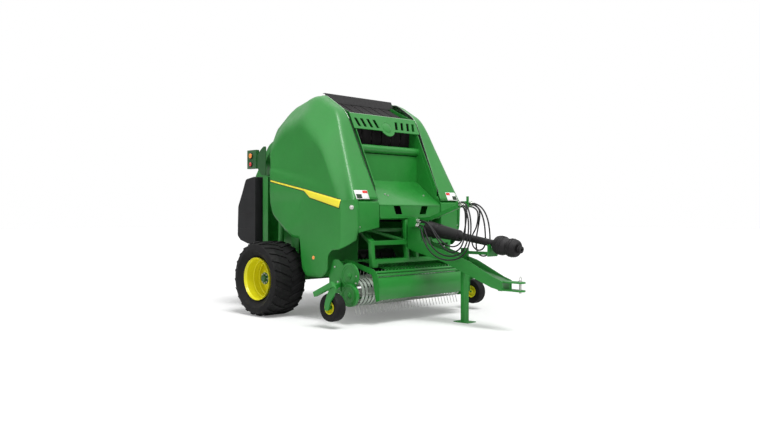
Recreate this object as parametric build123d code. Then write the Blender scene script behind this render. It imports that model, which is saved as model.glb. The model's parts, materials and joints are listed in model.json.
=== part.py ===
from build123d import *
from math import atan2, cos, hypot, pi, radians, sin, tan
import os

# Round baler, drawn by a tractor. Millimetres. +X points forward to the hitch, +Y to the
# machine's left, +Z up. The ground is Z = 0 and the wheels' line is X = 0 until the export,
# which moves the whole machine along X so that its origin is the middle of its length.

FRONT_REACH = 3600
REAR_REACH = 1250

# Half the width of the bale chamber; most of the machine's widths follow from it
CHAMBER_HALF = 620

# Main wheels
TYRE_RADIUS = 538
TYRE_WIDTH = 560
TRACK_HALF = CHAMBER_HALF + 605
LUG_HEIGHT = 15
LUG_COUNT = 24
LUG_THICKNESS = 42
LUG_SLANT = 24
RIM_RADIUS = 308
RIM_WALL = 12
RIM_DISH = 150
HUB_RADIUS = 95
SPINDLE_RADIUS = 35
AXLE_SECTION = 120
RUNNING_GAP = 0.4
SEAT_GAP = 0.3

# Bale chamber and side shields
PLATE = 12
SHIELD_SIDE = CHAMBER_HALF + 530
SHIELD_WALL = 12
SHIELD_REAR = -100
SHIELD_PIVOT_X = 180
SHIELD_PIVOT_Y = CHAMBER_HALF + 92
SHIELD_PIVOT_Z = 3053
SHIELD_TILT = 16.6
SHIELD_PIN_RADIUS = 8
KNUCKLE_RADIUS = 14
KNUCKLE = 50
KNUCKLE_STARTS = (60, 330)

# Pick-up
REEL_X = 1570
REEL_Z = 430
TINE_REACH = 300
TINE_SECTION = 5.5
TINE_BARS = 5
TINE_BAR_RADIUS = 14
TINE_BAR_PITCH_RADIUS = 120
TINE_PITCH = 66
BAND_COUNT = 31
BAND_RADIUS = 188
BAND_WIDTH = 44
BAND_THICKNESS = 3
PICKUP_HALF = 1080
ROTOR_X = 970
ROTOR_Z = 660
ROTOR_REACH = 240
ROTOR_SHAFT = 40
PIVOT_BOSS_RADIUS = 84
BAFFLE_HALF = PICKUP_HALF - 180
WINDGUARD_X = 1320
WINDGUARD_Z = 820
WIND_TUBE = 15

# Gauge wheels
GAUGE_RADIUS = 184
GAUGE_WIDTH = 150
GAUGE_X = 1650
GAUGE_Y = PICKUP_HALF + 350
GAUGE_Z = 276
GAUGE_RIM = 88
GAUGE_WALL = 6

# Tailgate
GATE_X = 120
GATE_Z = 2860
GATE_PIN_RADIUS = 30
GATE_SIDE_INNER = CHAMBER_HALF + 25
CYLINDER_Y = CHAMBER_HALF + 180
BARREL_RADIUS = 45
ROD_RADIUS = 22
EYE_RADIUS = 42
EYE_HALF = 30
EYE_GAP = 6
EYE_PIN = 18
BARREL_EYE = (-300, 860)
ROD_EYE = (-260, 2300)

# Drawbar, jack and driveline
DRAWBAR_HALF = 110
HITCH_X = 3536
HITCH_Z = 571
HITCH_PIN_RADIUS = 16
JACK_X = 2448
JACK_Y = 250
JACK_LEG = 80
JACK_FOOT = 250
DRIVE_X = 1975
DRIVE_Z = 1272
DRIVE_BALL = 28
PTO_BORE = 17.5
PTO_DEPTH = 80
DRIVE_END_X = 3560
DRIVE_END_Z = 1028

SHIFT_X = (REAR_REACH - FRONT_REACH) / 2

nodes = {}


def face_xz(rows):
    """Closed outline in the machine's side view; each row is x, z and corner radius."""
    points = [(x, z) for x, z, _ in rows]
    corner_radii = [radius for _, _, radius in rows]
    return make_face(FilletPolyline(*points, radius=corner_radii, close=True))


def plate(rows, y_low, y_high):
    """Side-view outline, solid from one Y to another."""
    sheet = Plane(origin=(0, y_low, 0), x_dir=(1, 0, 0), z_dir=(0, -1, 0)) * face_xz(rows)
    return extrude(sheet, amount=y_high - y_low, dir=(0, 1, 0))


def across(radius, x, z, y_low, y_high):
    """Round bar along Y."""
    return Pos(x, (y_low + y_high) / 2, z) * Rot(90, 0, 0) * Cylinder(radius, y_high - y_low)


def block(low, high):
    """Box between two corners."""
    size = [b - a for a, b in zip(low, high)]
    centre = [(a + b) / 2 for a, b in zip(low, high)]
    return Pos(*centre) * Box(*size)


def bar(start, end, wide, deep, side=(0, 1, 0)):
    """Rectangular bar from one point to another; its width lies along side."""
    run = Vector(*end) - Vector(*start)
    plane = Plane(origin=start, x_dir=side, z_dir=run)
    return extrude(plane * Rectangle(wide, deep), amount=run.length)


def other_side(part):
    return mirror(part, about=Plane.XZ)


def pair(part):
    """The piece on the right-hand side and its twin on the left."""
    return [part, other_side(part)]


def revolved_y(rows):
    """Solid of revolution about the Y axis; each row is y and radius."""
    points = [(radius, y) for y, radius in rows]
    profile = make_face(Polyline(*points, close=True))
    return revolve(profile, Axis.Y)


def tyre(width, radius, bead, lug_height, lugs, lug_thickness):
    """Tyre at the origin: rounded carcass and slanted shoulder lugs."""
    half = width / 2
    carcass = radius - lug_height
    profile = make_face(FilletPolyline(
        (bead, -half * 0.66),
        (radius * 0.78, -half),
        (carcass * 0.955, -half * 0.94),
        (carcass, -half * 0.55),
        (carcass, half * 0.55),
        (carcass * 0.955, half * 0.94),
        (radius * 0.78, half),
        (bead, half * 0.66),
        radius=[0, 30 * half / 280, 20 * half / 280, 60 * half / 280,
                60 * half / 280, 20 * half / 280, 30 * half / 280, 0],
        close=True,
    ))
    body = revolve(profile, Axis.Y)
    if lug_height == 0:
        return body
    shoulder = extrude(
        Plane.XY.offset(-lug_thickness / 2) * make_face(Polyline(
            (carcass * 0.88, 0),
            (radius, 0),
            (radius, half * 0.62),
            (radius * 0.945, half * 0.985),
            (carcass * 0.88, half * 0.985),
            close=True,
        )),
        amount=lug_thickness,
    )
    slanted = Rot(LUG_SLANT, 0, 0) * shoulder & Rot(90, 0, 0) * Cylinder(radius, 2 * width)
    step = 360 / lugs
    ring = []
    for index in range(lugs):
        ring.append(Rot(0, index * step, 0) * slanted)
        ring.append(Rot(0, (index + 0.5) * step, 0) * mirror(slanted, about=Plane.XZ))
    return body + ring


def rim(width, radius, wall, dish, hub, bore):
    """Deep-dished rim at the origin; its open face looks along -Y, so it suits the right side."""
    half = width / 2
    seat = radius - wall - 1
    inside = seat - wall
    barrel = [
        (-half, radius),
        (-half, radius - wall),
        (-half + 2 * wall, inside),
        (half - dish, inside - wall),
        (half - dish, hub),
        (-half * 0.35, hub),
        (-half * 0.35, bore),
        (half * 0.9, bore),
        (half * 0.9, hub),
        (half - dish + wall, hub),
        (half - dish + wall, inside),
        (half - 2 * wall, inside),
        (half, radius - wall),
        (half, radius),
        (half - wall, radius),
        (half - 1.6 * wall, seat),
        (-half + 1.6 * wall, seat),
        (-half + wall, radius),
    ]
    return revolved_y(barrel)


# Main wheels
main_tyre = tyre(TYRE_WIDTH, TYRE_RADIUS, RIM_RADIUS - RIM_WALL - 1 + SEAT_GAP, LUG_HEIGHT, LUG_COUNT,
                 LUG_THICKNESS)
main_rim = rim(TYRE_WIDTH * 0.81, RIM_RADIUS, RIM_WALL, RIM_DISH, HUB_RADIUS,
               SPINDLE_RADIUS + RUNNING_GAP)
right_wheel = Pos(0, -TRACK_HALF, TYRE_RADIUS)
nodes["tyre_right"] = [right_wheel * main_tyre]
nodes["rim_right"] = [right_wheel * main_rim]
nodes["tyre_left"] = [other_side(nodes["tyre_right"][0])]
nodes["rim_left"] = [other_side(nodes["rim_right"][0])]

# Axle beam with its two spindles
AXLE_HALF = TRACK_HALF - TYRE_WIDTH / 2 - 15
beam = block((-AXLE_SECTION / 2, -AXLE_HALF, TYRE_RADIUS - AXLE_SECTION / 2),
             (AXLE_SECTION / 2, AXLE_HALF, TYRE_RADIUS + AXLE_SECTION / 2))
SPINDLE_END = TRACK_HALF + TYRE_WIDTH * 0.15
spindles = across(SPINDLE_RADIUS, 0, TYRE_RADIUS, -SPINDLE_END, SPINDLE_END)
nodes["axle_beam"] = [beam + spindles]

# The slotted cross panel leans back; the side plates' front edges lie just behind it
PANEL_TOP = (1112, 2895)
PANEL_LOW = (PANEL_TOP[0] + 108, PANEL_TOP[1] - 225.5)
PANEL_HALF_THICK = 6


def behind_panel(z):
    """x of the side plates' front edge at a height."""
    run = hypot(PANEL_LOW[0] - PANEL_TOP[0], PANEL_LOW[1] - PANEL_TOP[1])
    back = (PANEL_HALF_THICK + SEAT_GAP) * run / (PANEL_TOP[1] - PANEL_LOW[1])
    slope = (PANEL_LOW[0] - PANEL_TOP[0]) / (PANEL_TOP[1] - PANEL_LOW[1])
    return PANEL_TOP[0] - back + slope * (PANEL_TOP[1] - z)


# Hinge line of a side shield: it follows the shield's upper inner edge, rising forwards
hinge_plane = Plane(origin=(SHIELD_PIVOT_X, -SHIELD_PIVOT_Y, SHIELD_PIVOT_Z), x_dir=(0, -1, 0),
                    z_dir=(cos(radians(SHIELD_TILT)), 0, sin(radians(SHIELD_TILT))))


def knuckle(start, radius):
    return hinge_plane * (Pos(0, 0, start + KNUCKLE / 2) * Cylinder(radius, KNUCKLE))


def shield_pin(start):
    return hinge_plane * (Pos(0, 0, start + KNUCKLE) * Cylinder(SHIELD_PIN_RADIUS, 2 * KNUCKLE))


def hinge_block(outward, downward, start, length=0):
    """Block along the hinge line, its limits measured outwards and downwards from the line."""
    wide = outward[1] - outward[0]
    tall = downward[1] - downward[0]
    long = length or KNUCKLE
    centre = Pos((outward[0] + outward[1]) / 2, (downward[0] + downward[1]) / 2, start + long / 2)
    return hinge_plane * (centre * Box(wide, tall, long))


# Chamber side plates, with the bosses that carry the feed rotor and the pick-up
BOSS_END = CHAMBER_HALF + PLATE + 68
side_rows = [
    (-30, 600, 0), (-30, 2600, 60), (60, 2960, 80), (200, 3040, 60), (640, 3120, 60),
    (behind_panel(PANEL_TOP[1] + 5), PANEL_TOP[1] + 5, 20), (behind_panel(1860), 1860, 40), (1610, 1420, 60),
    (1260, 1320, 60),
    (1240, 700, 60), (900, 560, 60), (420, 560, 40),
    (120, 600, 0),
]
side_plate = plate(side_rows, -CHAMBER_HALF - PLATE, -CHAMBER_HALF)
boss = across(PIVOT_BOSS_RADIUS, ROTOR_X, ROTOR_Z, -BOSS_END, -CHAMBER_HALF - PLATE)
gate_stub = across(GATE_PIN_RADIUS, GATE_X, GATE_Z, -GATE_SIDE_INNER - PLATE - 25, -CHAMBER_HALF - PLATE)
rotor_hole = across(ROTOR_SHAFT + RUNNING_GAP, ROTOR_X, ROTOR_Z, -BOSS_END - 1, -CHAMBER_HALF + 1)
hinge_lugs = []
for start in KNUCKLE_STARTS:
    hinge_lugs.append(knuckle(start, KNUCKLE_RADIUS) + shield_pin(start))
    hinge_lugs.append(hinge_block((CHAMBER_HALF - SHIELD_PIVOT_Y, 0), (-8, 10), start))
    hinge_lugs.append(hinge_block((CHAMBER_HALF - SHIELD_PIVOT_Y, CHAMBER_HALF + PLATE - SHIELD_PIVOT_Y),
                                  (-8, 130), start))
axle_seat = block((-25, -CHAMBER_HALF - 140, TYRE_RADIUS + AXLE_SECTION / 2),
                  (100, -CHAMBER_HALF - PLATE / 2, 700))
right_side = side_plate + boss + gate_stub + hinge_lugs + axle_seat - rotor_hole
nodes["side_plates"] = pair(right_side)

# Cylinder feet on the axle beam
foot_rows = [
    (BARREL_EYE[0] - 45, BARREL_EYE[1] - 50, 20), (BARREL_EYE[0] - 45, BARREL_EYE[1] + 45, 40),
    (BARREL_EYE[0] + 45, BARREL_EYE[1] + 45, 40), (-60, 700, 20), (-60, 490, 10), (-110, 490, 10),
]
feet = []
for side in (-1, 1):
    for offset in (-EYE_HALF - EYE_GAP - PLATE, EYE_HALF + EYE_GAP):
        y_low = side * CYLINDER_Y + offset
        feet.append(plate(foot_rows, y_low, y_low + PLATE))
    feet.append(across(EYE_PIN, *BARREL_EYE, side * CYLINDER_Y - EYE_HALF - EYE_GAP - 2,
                       side * CYLINDER_Y + EYE_HALF + EYE_GAP + 2))
nodes["axle_beam"] = [nodes["axle_beam"][0] + feet]

# Front boxes beside the apron
BOX_OUTER = CHAMBER_HALF + 390
box_face = Plane(origin=(1560, 0, 0), x_dir=(0, 1, 0), z_dir=(1, 0, 0)) * make_face(Polyline(
    (-BOX_OUTER, 1223), (-CHAMBER_HALF - PLATE, 1289), (-CHAMBER_HALF - PLATE, 1735), (-BOX_OUTER, 1735),
    close=True))
front_box = extrude(box_face, amount=130)
front_box += block((1640, -CHAMBER_HALF - PLATE - 8, 1420), (1690, -CHAMBER_HALF - PLATE, 1690))
nodes["front_boxes"] = pair(front_box)

# Apron and sloping floor: one bent sheet with two hand slots. Its rear edge lies on the recessed panel.
SHEET = 5
APRON_HALF = CHAMBER_HALF
RECESS_X = 1205
RECESS_FRONT = RECESS_X + 8
FLOOR_FRONT = (1668, 1612)
FLOOR_SLOPE = 0.743
APRON_X = 1680


def floor_z(x):
    """Height of the sloping floor's upper face."""
    return FLOOR_FRONT[1] + FLOOR_SLOPE * (FLOOR_FRONT[0] - x)


floor_rear = RECESS_FRONT + SEAT_GAP
apron_rows = [
    (floor_rear, floor_z(floor_rear), 0), (*FLOOR_FRONT, 0), (APRON_X, 1598, 0), (APRON_X, 1410, 0),
    (1640, 1395, 0),
    (1640, 1400, 0), (APRON_X - SHEET, 1414, 0), (APRON_X - SHEET, 1595, 0),
    (FLOOR_FRONT[0] - SHEET, 1608, 0),
    (floor_rear, floor_z(floor_rear) - 1.2 * SHEET, 0),
]
apron = plate(apron_rows, -APRON_HALF, APRON_HALF)
hand_slot = Plane(origin=(1600, -263, 1526), x_dir=(0, 1, 0), z_dir=(1, 0, 0)) * make_face(Polyline(
    (-88, 60), (42, 60), (88, -60), (-42, -60), close=True))
hand_slot = extrude(hand_slot, amount=120)
nodes["apron"] = [apron - hand_slot - other_side(hand_slot)]

# Recessed back panel with its cheeks, and the round tube over it
CHEEK = 6
recess = block((RECESS_X, -APRON_HALF, 1925), (RECESS_FRONT, APRON_HALF, 2330))
cheek_rows = [
    (RECESS_X, floor_z(RECESS_X) + 0.5, 0), (1655, floor_z(1655) + 0.5, 0), (1600, 1720, 0), (1270, 2430, 0),
    (1150, 2430, 0), (1150, 2330, 0), (RECESS_X, 2330, 0),
]
for y_low in (-CHAMBER_HALF, CHAMBER_HALF - CHEEK):
    recess += plate(cheek_rows, y_low, y_low + CHEEK)
recess += across(58, 1200, 2400, -CHAMBER_HALF, CHAMBER_HALF)
nodes["recess_panel"] = [recess]

# Slotted cross panel with its round boss
panel_run = Vector(PANEL_LOW[0] - PANEL_TOP[0], 0, PANEL_LOW[1] - PANEL_TOP[1])
panel_plane = Plane(origin=(PANEL_TOP[0], 0, PANEL_TOP[1]), x_dir=(0, 1, 0),
                    z_dir=panel_run.cross(Vector(0, 1, 0)))
panel_tall = panel_run.length
panel_sketch = Pos(0, -panel_tall / 2) * Rectangle(2 * CHAMBER_HALF + 90, panel_tall)
BOSS_RADIUS = 143
BOSS_CENTRE_DOWN = 188
panel_sketch += Pos(0, -BOSS_CENTRE_DOWN) * Circle(BOSS_RADIUS)
SLOT_OFFSETS = (208, 329, 452, 565)
SLOT_HALF_WIDTH = 27
SLOT_TOP_DOWN = 77
SLOT_LOW_DOWN = 212
SLOT_HALF_LEAN = 20
for y_slot in SLOT_OFFSETS:
    for side in (-1, 1):
        top_y = side * (y_slot + SLOT_HALF_LEAN)
        low_y = side * (y_slot - SLOT_HALF_LEAN)
        panel_sketch -= make_face(Polyline(
            (top_y - SLOT_HALF_WIDTH, -SLOT_TOP_DOWN), (top_y + SLOT_HALF_WIDTH, -SLOT_TOP_DOWN),
            (low_y + SLOT_HALF_WIDTH, -SLOT_LOW_DOWN), (low_y - SLOT_HALF_WIDTH, -SLOT_LOW_DOWN), close=True))
cross_panel = extrude(panel_plane * panel_sketch, amount=PANEL_HALF_THICK, both=True)
nodes["cross_panel"] = [cross_panel]

# Black sheet over the top opening: it stands between the side plates and widens above them
TOP_SHEET_HALF = CHAMBER_HALF + 60
top_rows = [(556, 3226, 0), (600, 3226, 0), (642, 3122, 0), (637, 3120, 0), (596, 3221, 0), (556, 3221, 0)]
sheet_foot_rows = [(642, 3122, 0), (652, 3096, 0), (647, 3095, 0), (637, 3120, 0)]
top_sheet = plate(top_rows, -TOP_SHEET_HALF, TOP_SHEET_HALF)
nodes["top_sheet"] = [top_sheet + plate(sheet_foot_rows, -CHAMBER_HALF, CHAMBER_HALF)]

# Front rollers and belts, inside the chamber
FRONT_ROLLERS = ((560, 3020, 90), (1000, 2790, 90), (1010, 2570, 60), (880, 1450, 90), (640, 820, 110))
nodes["front_rollers"] = []
for x, z, radius in FRONT_ROLLERS:
    roller = across(radius, x, z, -CHAMBER_HALF + 20, CHAMBER_HALF - 20)
    roller += across(25, x, z, -CHAMBER_HALF, CHAMBER_HALF)
    nodes["front_rollers"].append(roller)
BELT_COUNT = 6
BELT_PITCH = (2 * CHAMBER_HALF - 52) / BELT_COUNT
BELT_WIDTH = BELT_PITCH - 20
BELT_THICKNESS = 7


def belt_loop(rollers, y_centre):
    """One belt as a closed band round its rollers, each given as x, z and radius."""
    outer = belt_outline(rollers, BELT_THICKNESS + 0.3)
    inner = belt_outline(rollers, 0.3)
    side_plane = Plane(origin=(0, y_centre - BELT_WIDTH / 2, 0), x_dir=(1, 0, 0), z_dir=(0, -1, 0))
    band = side_plane * (outer - inner)
    return extrude(band, amount=BELT_WIDTH, dir=(0, 1, 0))


def belt_outline(rollers, extra):
    """Face bounded by the outside tangents of rollers listed clockwise as seen from the right."""
    edges = []
    tangents = []
    count = len(rollers)
    for index in range(count):
        x0, z0, r0 = rollers[index]
        x1, z1, r1 = rollers[(index + 1) % count]
        r0 += extra
        r1 += extra
        heading = atan2(z1 - z0, x1 - x0)
        span = hypot(x1 - x0, z1 - z0)
        normal = heading + pi / 2 + atan2(r1 - r0, (span ** 2 - (r1 - r0) ** 2) ** 0.5)
        tangents.append(((x0 + r0 * cos(normal), z0 + r0 * sin(normal)),
                         (x1 + r1 * cos(normal), z1 + r1 * sin(normal)), normal))
    for index in range(count):
        start, end, normal = tangents[index]
        edges.append(Line(start, end))
        following = tangents[(index + 1) % count]
        turn = (normal - following[2]) % (2 * pi)
        x, z, r = rollers[(index + 1) % count]
        middle = normal - turn / 2
        edges.append(ThreePointArc(
            end,
            (x + (r + extra) * cos(middle), z + (r + extra) * sin(middle)),
            following[0],
        ))
    return make_face(Wire(edges))


def belt_set(rollers):
    first = -(BELT_COUNT - 1) / 2 * BELT_PITCH
    return [belt_loop(rollers, first + index * BELT_PITCH) for index in range(BELT_COUNT)]


nodes["front_belts"] = belt_set([FRONT_ROLLERS[0], FRONT_ROLLERS[1], FRONT_ROLLERS[3]])

# Front frame under the apron
BAR = 60
BAR_X = 1685
BAR_FRONT = BAR_X + BAR / 2
REAR_BAR_X = 1205
UPPER_Z = 1080
LOWER_Z = 828
REAR_BAR_Z = 1240
POST_Y = CHAMBER_HALF + 150
front_bars = [
    bar((BAR_X, -POST_Y, UPPER_Z), (BAR_X, POST_Y, UPPER_Z), BAR, BAR, side=(1, 0, 0)),
    bar((BAR_X, -POST_Y, LOWER_Z), (BAR_X, POST_Y, LOWER_Z), BAR, BAR, side=(1, 0, 0)),
    bar((REAR_BAR_X, -CHAMBER_HALF, REAR_BAR_Z), (REAR_BAR_X, CHAMBER_HALF, REAR_BAR_Z), 70, 50,
        side=(1, 0, 0)),
]
for side in (-1, 1):
    front_bars.append(bar((BAR_X, side * (POST_Y + 12), 1106), (BAR_X, side * (POST_Y - 12), 770), BAR, BAR,
                          side=(1, 0, 0)))
    foot_y = side * (POST_Y - 35)
    front_bars.append(block((BAR_X - 40, foot_y - 45, 752), (BAR_X + 40, foot_y + 45, 830)))
    brace_start = (REAR_BAR_X + 20, side * (CHAMBER_HALF - 75), REAR_BAR_Z)
    front_bars.append(bar(brace_start, (BAR_X, side * POST_Y, 1085), 90, 45))
    front_bars.append(bar((BAR_X, side * 95, 803), (1650, side * 95, 1392), 50, BAR))
    front_bars.append(bar((REAR_BAR_X, side * 330, REAR_BAR_Z), (BAR_X, side * 110, 1090), 30, 40))
nodes["front_frame"] = [front_bars[0] + front_bars[1:]]

# Drawbar: two side plates, spacers, clevis and the jack's sleeve
plate_rows = [
    (BAR_FRONT, 1180, 0), (BAR_FRONT, 1420, 20), (1900, 1420, 60), (1985, 1090, 80), (2790, 867, 200),
    (3210, 676, 60), (3330, 636, 20), (3330, 512, 10), (3170, 545, 60), (2990, 610, 120), (2380, 830, 200),
    (BAR_FRONT, 985, 0),
]
drawbar = plate(plate_rows, -DRAWBAR_HALF, -DRAWBAR_HALF + PLATE)
drawbar += plate(plate_rows, DRAWBAR_HALF - PLATE, DRAWBAR_HALF)
spacer_rows = [
    (BAR_FRONT, 1005, 0), (2380, 850, 0), (2990, 630, 0), (3320, 520, 0), (3320, 620, 0), (3210, 660, 0),
    (2780, 790, 0), (2000, 1010, 0), (1960, 1149, 0), (BAR_FRONT, 1149, 0),
]
drawbar += plate(spacer_rows, -DRAWBAR_HALF + PLATE, DRAWBAR_HALF - PLATE)
CLEVIS_TOP = HITCH_Z + 51
CLEVIS_LOW = HITCH_Z - 51
for z_face, thick in ((CLEVIS_TOP - 10, 20), (CLEVIS_LOW - 10, 20)):
    tongue = Plane.XY.offset(z_face) * (
        Pos((3280 + HITCH_X) / 2, 0) * Rectangle(HITCH_X - 3280, 2 * (FRONT_REACH - HITCH_X))
        + Pos(HITCH_X, 0) * Circle(FRONT_REACH - HITCH_X)
        + Pos(3300, 0) * Rectangle(60, 2 * DRAWBAR_HALF - 20)
    )
    tongue = extrude(tongue, amount=thick)
    drawbar += tongue
drawbar -= Pos(HITCH_X, 0, HITCH_Z) * Cylinder(HITCH_PIN_RADIUS + 0.5, 200)
sleeve = block((JACK_X - 50, JACK_Y - 50, 700), (JACK_X + 50, JACK_Y + 50, 860))
sleeve -= block((JACK_X - JACK_LEG / 2 - 0.5, JACK_Y - JACK_LEG / 2 - 0.5, 690),
                (JACK_X + JACK_LEG / 2 + 0.5, JACK_Y + JACK_LEG / 2 + 0.5, 870))
sleeve += block((JACK_X - 45, DRAWBAR_HALF - 2, 740), (JACK_X + 45, JACK_Y - 49, 835))
drawbar += sleeve
nodes["drawbar"] = [drawbar]
PIN_HEAD = 24
hitch_pin = Pos(HITCH_X, 0, HITCH_Z) * Cylinder(HITCH_PIN_RADIUS, 2 * 51 + 60)
hitch_pin += Pos(HITCH_X, 0, CLEVIS_TOP + 10 + SEAT_GAP + 6) * Cylinder(PIN_HEAD, 12)
nodes["hitch_pin"] = [hitch_pin]
JACK_TOP = 1010
jack_leg = block((JACK_X - JACK_LEG / 2, JACK_Y - JACK_LEG / 2, 10),
                 (JACK_X + JACK_LEG / 2, JACK_Y + JACK_LEG / 2, JACK_TOP))
jack_leg += block((JACK_X - JACK_FOOT / 2, JACK_Y - 90, 0), (JACK_X + JACK_FOOT / 2, JACK_Y + 90, 12))
nodes["jack_leg"] = [jack_leg]

# Gearbox on the drawbar's rear end
GEARBOX_TOP = 1360
gearbox = block((BAR_FRONT + 20, -DRAWBAR_HALF + PLATE, 1149), (1890, DRAWBAR_HALF - PLATE, GEARBOX_TOP))
gearbox += Pos(1900, 0, DRIVE_Z) * Rot(0, 90, 0) * Cylinder(70, 60)
gearbox += Pos(1940, 0, DRIVE_Z) * Rot(0, 90, 0) * Cylinder(22, 70)
gearbox += Pos(DRIVE_X, 0, DRIVE_Z) * Sphere(DRIVE_BALL)
gearbox += across(11, DRIVE_X, DRIVE_Z, -46, 46)
nodes["gearbox"] = [gearbox]

# Driveline: guard that lifts, shaft that turns inside it
drive_run = Vector(DRIVE_END_X - DRIVE_X, 0, DRIVE_END_Z - DRIVE_Z)
drive_plane = Plane(origin=(DRIVE_X, 0, DRIVE_Z), x_dir=(0, 1, 0), z_dir=drive_run)
guard_rows = [(25, 98), (60, 104), (200, 98), (420, 84), (600, 76), (625, 50), (1165, 46), (1195, 74),
              (1230, 110), (1290, 120), (1360, 112), (1400, 96), (1430, 112), (1490, 114), (1535, 100),
              (1550, 84)]
SHAFT_RADIUS = 28
GUARD_BORE = SHAFT_RADIUS + RUNNING_GAP
CRADLE_RADIUS = 52
guard_profile = [(r, s) for s, r in guard_rows]
guard_profile += [(GUARD_BORE, guard_rows[-1][0]), (GUARD_BORE, guard_rows[0][0])]
guard = revolve(Plane.XZ * make_face(Polyline(*guard_profile, close=True)), Axis.Z)
nodes["driveline_guard"] = [drive_plane * guard]
SHAFT_START = DRIVE_BALL + SEAT_GAP
shaft_length = drive_run.length - SHAFT_START
COLLAR_START = guard_rows[-1][0] + 4
collar_length = drive_run.length - COLLAR_START
shaft = Pos(0, 0, SHAFT_START + shaft_length / 2) * Cylinder(SHAFT_RADIUS, shaft_length)
shaft += Pos(0, 0, COLLAR_START + collar_length / 2) * Cylinder(42, collar_length)
shaft += Pos(0, 0, COLLAR_START + 18) * Cylinder(52, 20)
shaft -= Pos(0, 0, drive_run.length - PTO_DEPTH / 2) * Cylinder(PTO_BORE, PTO_DEPTH)
nodes["driveline_shaft"] = [drive_plane * shaft]

# Holder for the parked driveline, and the hose holder
HOLDER_Y = DRAWBAR_HALF - PLATE - 20
holder = block((2560, HOLDER_Y - 20, 862), (2640, HOLDER_Y + 20, 990))
holder += bar((2620, HOLDER_Y, 962), (3118, HOLDER_Y, 962), 40, 40)
cradle = block((3100, -98, 930), (3114, 98, 1085))
cradle -= drive_plane * (Pos(0, 0, 1100) * Cylinder(CRADLE_RADIUS, 400))
holder += cradle
nodes["driveline_holder"] = [holder]
hose_holder = block((1760, HOLDER_Y - 20, GEARBOX_TOP + 5), (1870, HOLDER_Y + 20, 1415))
hose_holder += bar((1840, 68, 1395), (2005, 60, 1410), 40, 44)
hose_holder += bar((1985, 60, 1403), (2635, 60, 1618), 40, 50)
hose_holder += block((2600, -120, 1560), (2640, 170, 1640))
hose_holder += block((2638, 50, 1530), (2666, 70, 1705))
nodes["hose_holder"] = [hose_holder]

# Hydraulic hoses. Each row of a route is x, y, z from the drawbar's head to the hose holder.
HOSE_RADIUS = 10
MANIFOLD_FRONT = 1930
nodes["hose_manifold"] = [block((1800, -180, 1295), (MANIFOLD_FRONT, -DRAWBAR_HALF, 1410))]
HOLDER_FRONT = 2640
HOSE_ROUTES = {
    "hose_near": (
        (MANIFOLD_FRONT, -150, 1330), (2060, -160, 1320), (2160, -212, 1190), (2265, -235, 1050),
        (2410, -240, 950), (2590, -235, 912), (2760, -222, 950), (2850, -205, 1070), (2872, -188, 1240),
        (2845, -160, 1420), (2770, -130, 1555), (HOLDER_FRONT + SEAT_GAP, -100, 1592),
    ),
    "hose_outer": (
        (MANIFOLD_FRONT, -165, 1308), (2040, -190, 1298), (2130, -248, 1165), (2230, -275, 1020),
        (2385, -280, 905), (2590, -275, 862), (2800, -262, 900), (2915, -245, 1035), (2945, -228, 1225),
        (2915, -200, 1430), (2825, -160, 1585), (2730, -128, 1630), (HOLDER_FRONT + SEAT_GAP, -108, 1624),
    ),
    "hose_middle": (
        (MANIFOLD_FRONT, -150, 1382), (2070, -160, 1390), (2220, -190, 1300), (2340, -205, 1150),
        (2480, -210, 1010), (2640, -205, 960), (2760, -190, 1040), (2800, -170, 1210), (2790, -150, 1390),
        (2750, -110, 1540), (HOLDER_FRONT + SEAT_GAP, -60, 1610),
    ),
    "hose_inner": (
        (MANIFOLD_FRONT, -125, 1356), (2080, -140, 1362), (2230, -168, 1285), (2350, -180, 1160),
        (2480, -184, 1060), (2630, -180, 1035), (2745, -168, 1110), (2775, -150, 1260), (2780, -118, 1430),
        (2740, -60, 1560), (HOLDER_FRONT + SEAT_GAP, -20, 1600),
    ),
    "hose_far": (
        (HOLDER_FRONT + SEAT_GAP, 125, 1622), (2735, 138, 1612), (2840, 155, 1540), (2905, 168, 1410),
        (2930, 178, 1240), (2927, 186, 1085), (2925, 188, 982), (2858, 190, 915), (2763, 192, 915),
        (2696, 190, 982), (2696, 186, 1150), (2745, 174, 1320), (2785, 162, 1500), (2733, 154, 1580),
        (HOLDER_FRONT + SEAT_GAP, 152, 1602),
    ),
    "hose_loop": (
        (HOLDER_FRONT + SEAT_GAP, 92, 1622), (2730, 100, 1606), (2818, 116, 1530), (2868, 130, 1400),
        (2885, 140, 1240), (2880, 150, 1060), (2813, 154, 993), (2718, 156, 993), (2651, 154, 1060),
        (2651, 148, 1180), (2743, 140, 1296), (2783, 130, 1476), (2731, 124, 1556),
        (HOLDER_FRONT + SEAT_GAP, 120, 1576),
    ),
}


def hose(route):
    """Round hose along straight runs joined by arcs as large as the runs allow."""
    points = [Vector(*row) for row in route]
    radii = []
    for before, here, after in zip(points, points[1:], points[2:]):
        run_in = here - before
        run_out = after - here
        half_turn = radians(run_in.get_angle(run_out)) / 2
        radii.append(0.45 * min(run_in.length, run_out.length) / tan(half_turn))
    path = FilletPolyline(*points, radius=radii)
    section = Plane(origin=points[0], z_dir=points[1] - points[0]) * Circle(HOSE_RADIUS)
    return sweep(section, path=path), path.length, radii


for name, route in HOSE_ROUTES.items():
    tube, length, radii = hose(route)
    nodes[name] = [tube]
    share = tube.volume / (pi * HOSE_RADIUS ** 2 * length)
    print(name, "length", round(length), "volume share", round(share, 4), "radii", [round(r) for r in radii])

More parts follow.
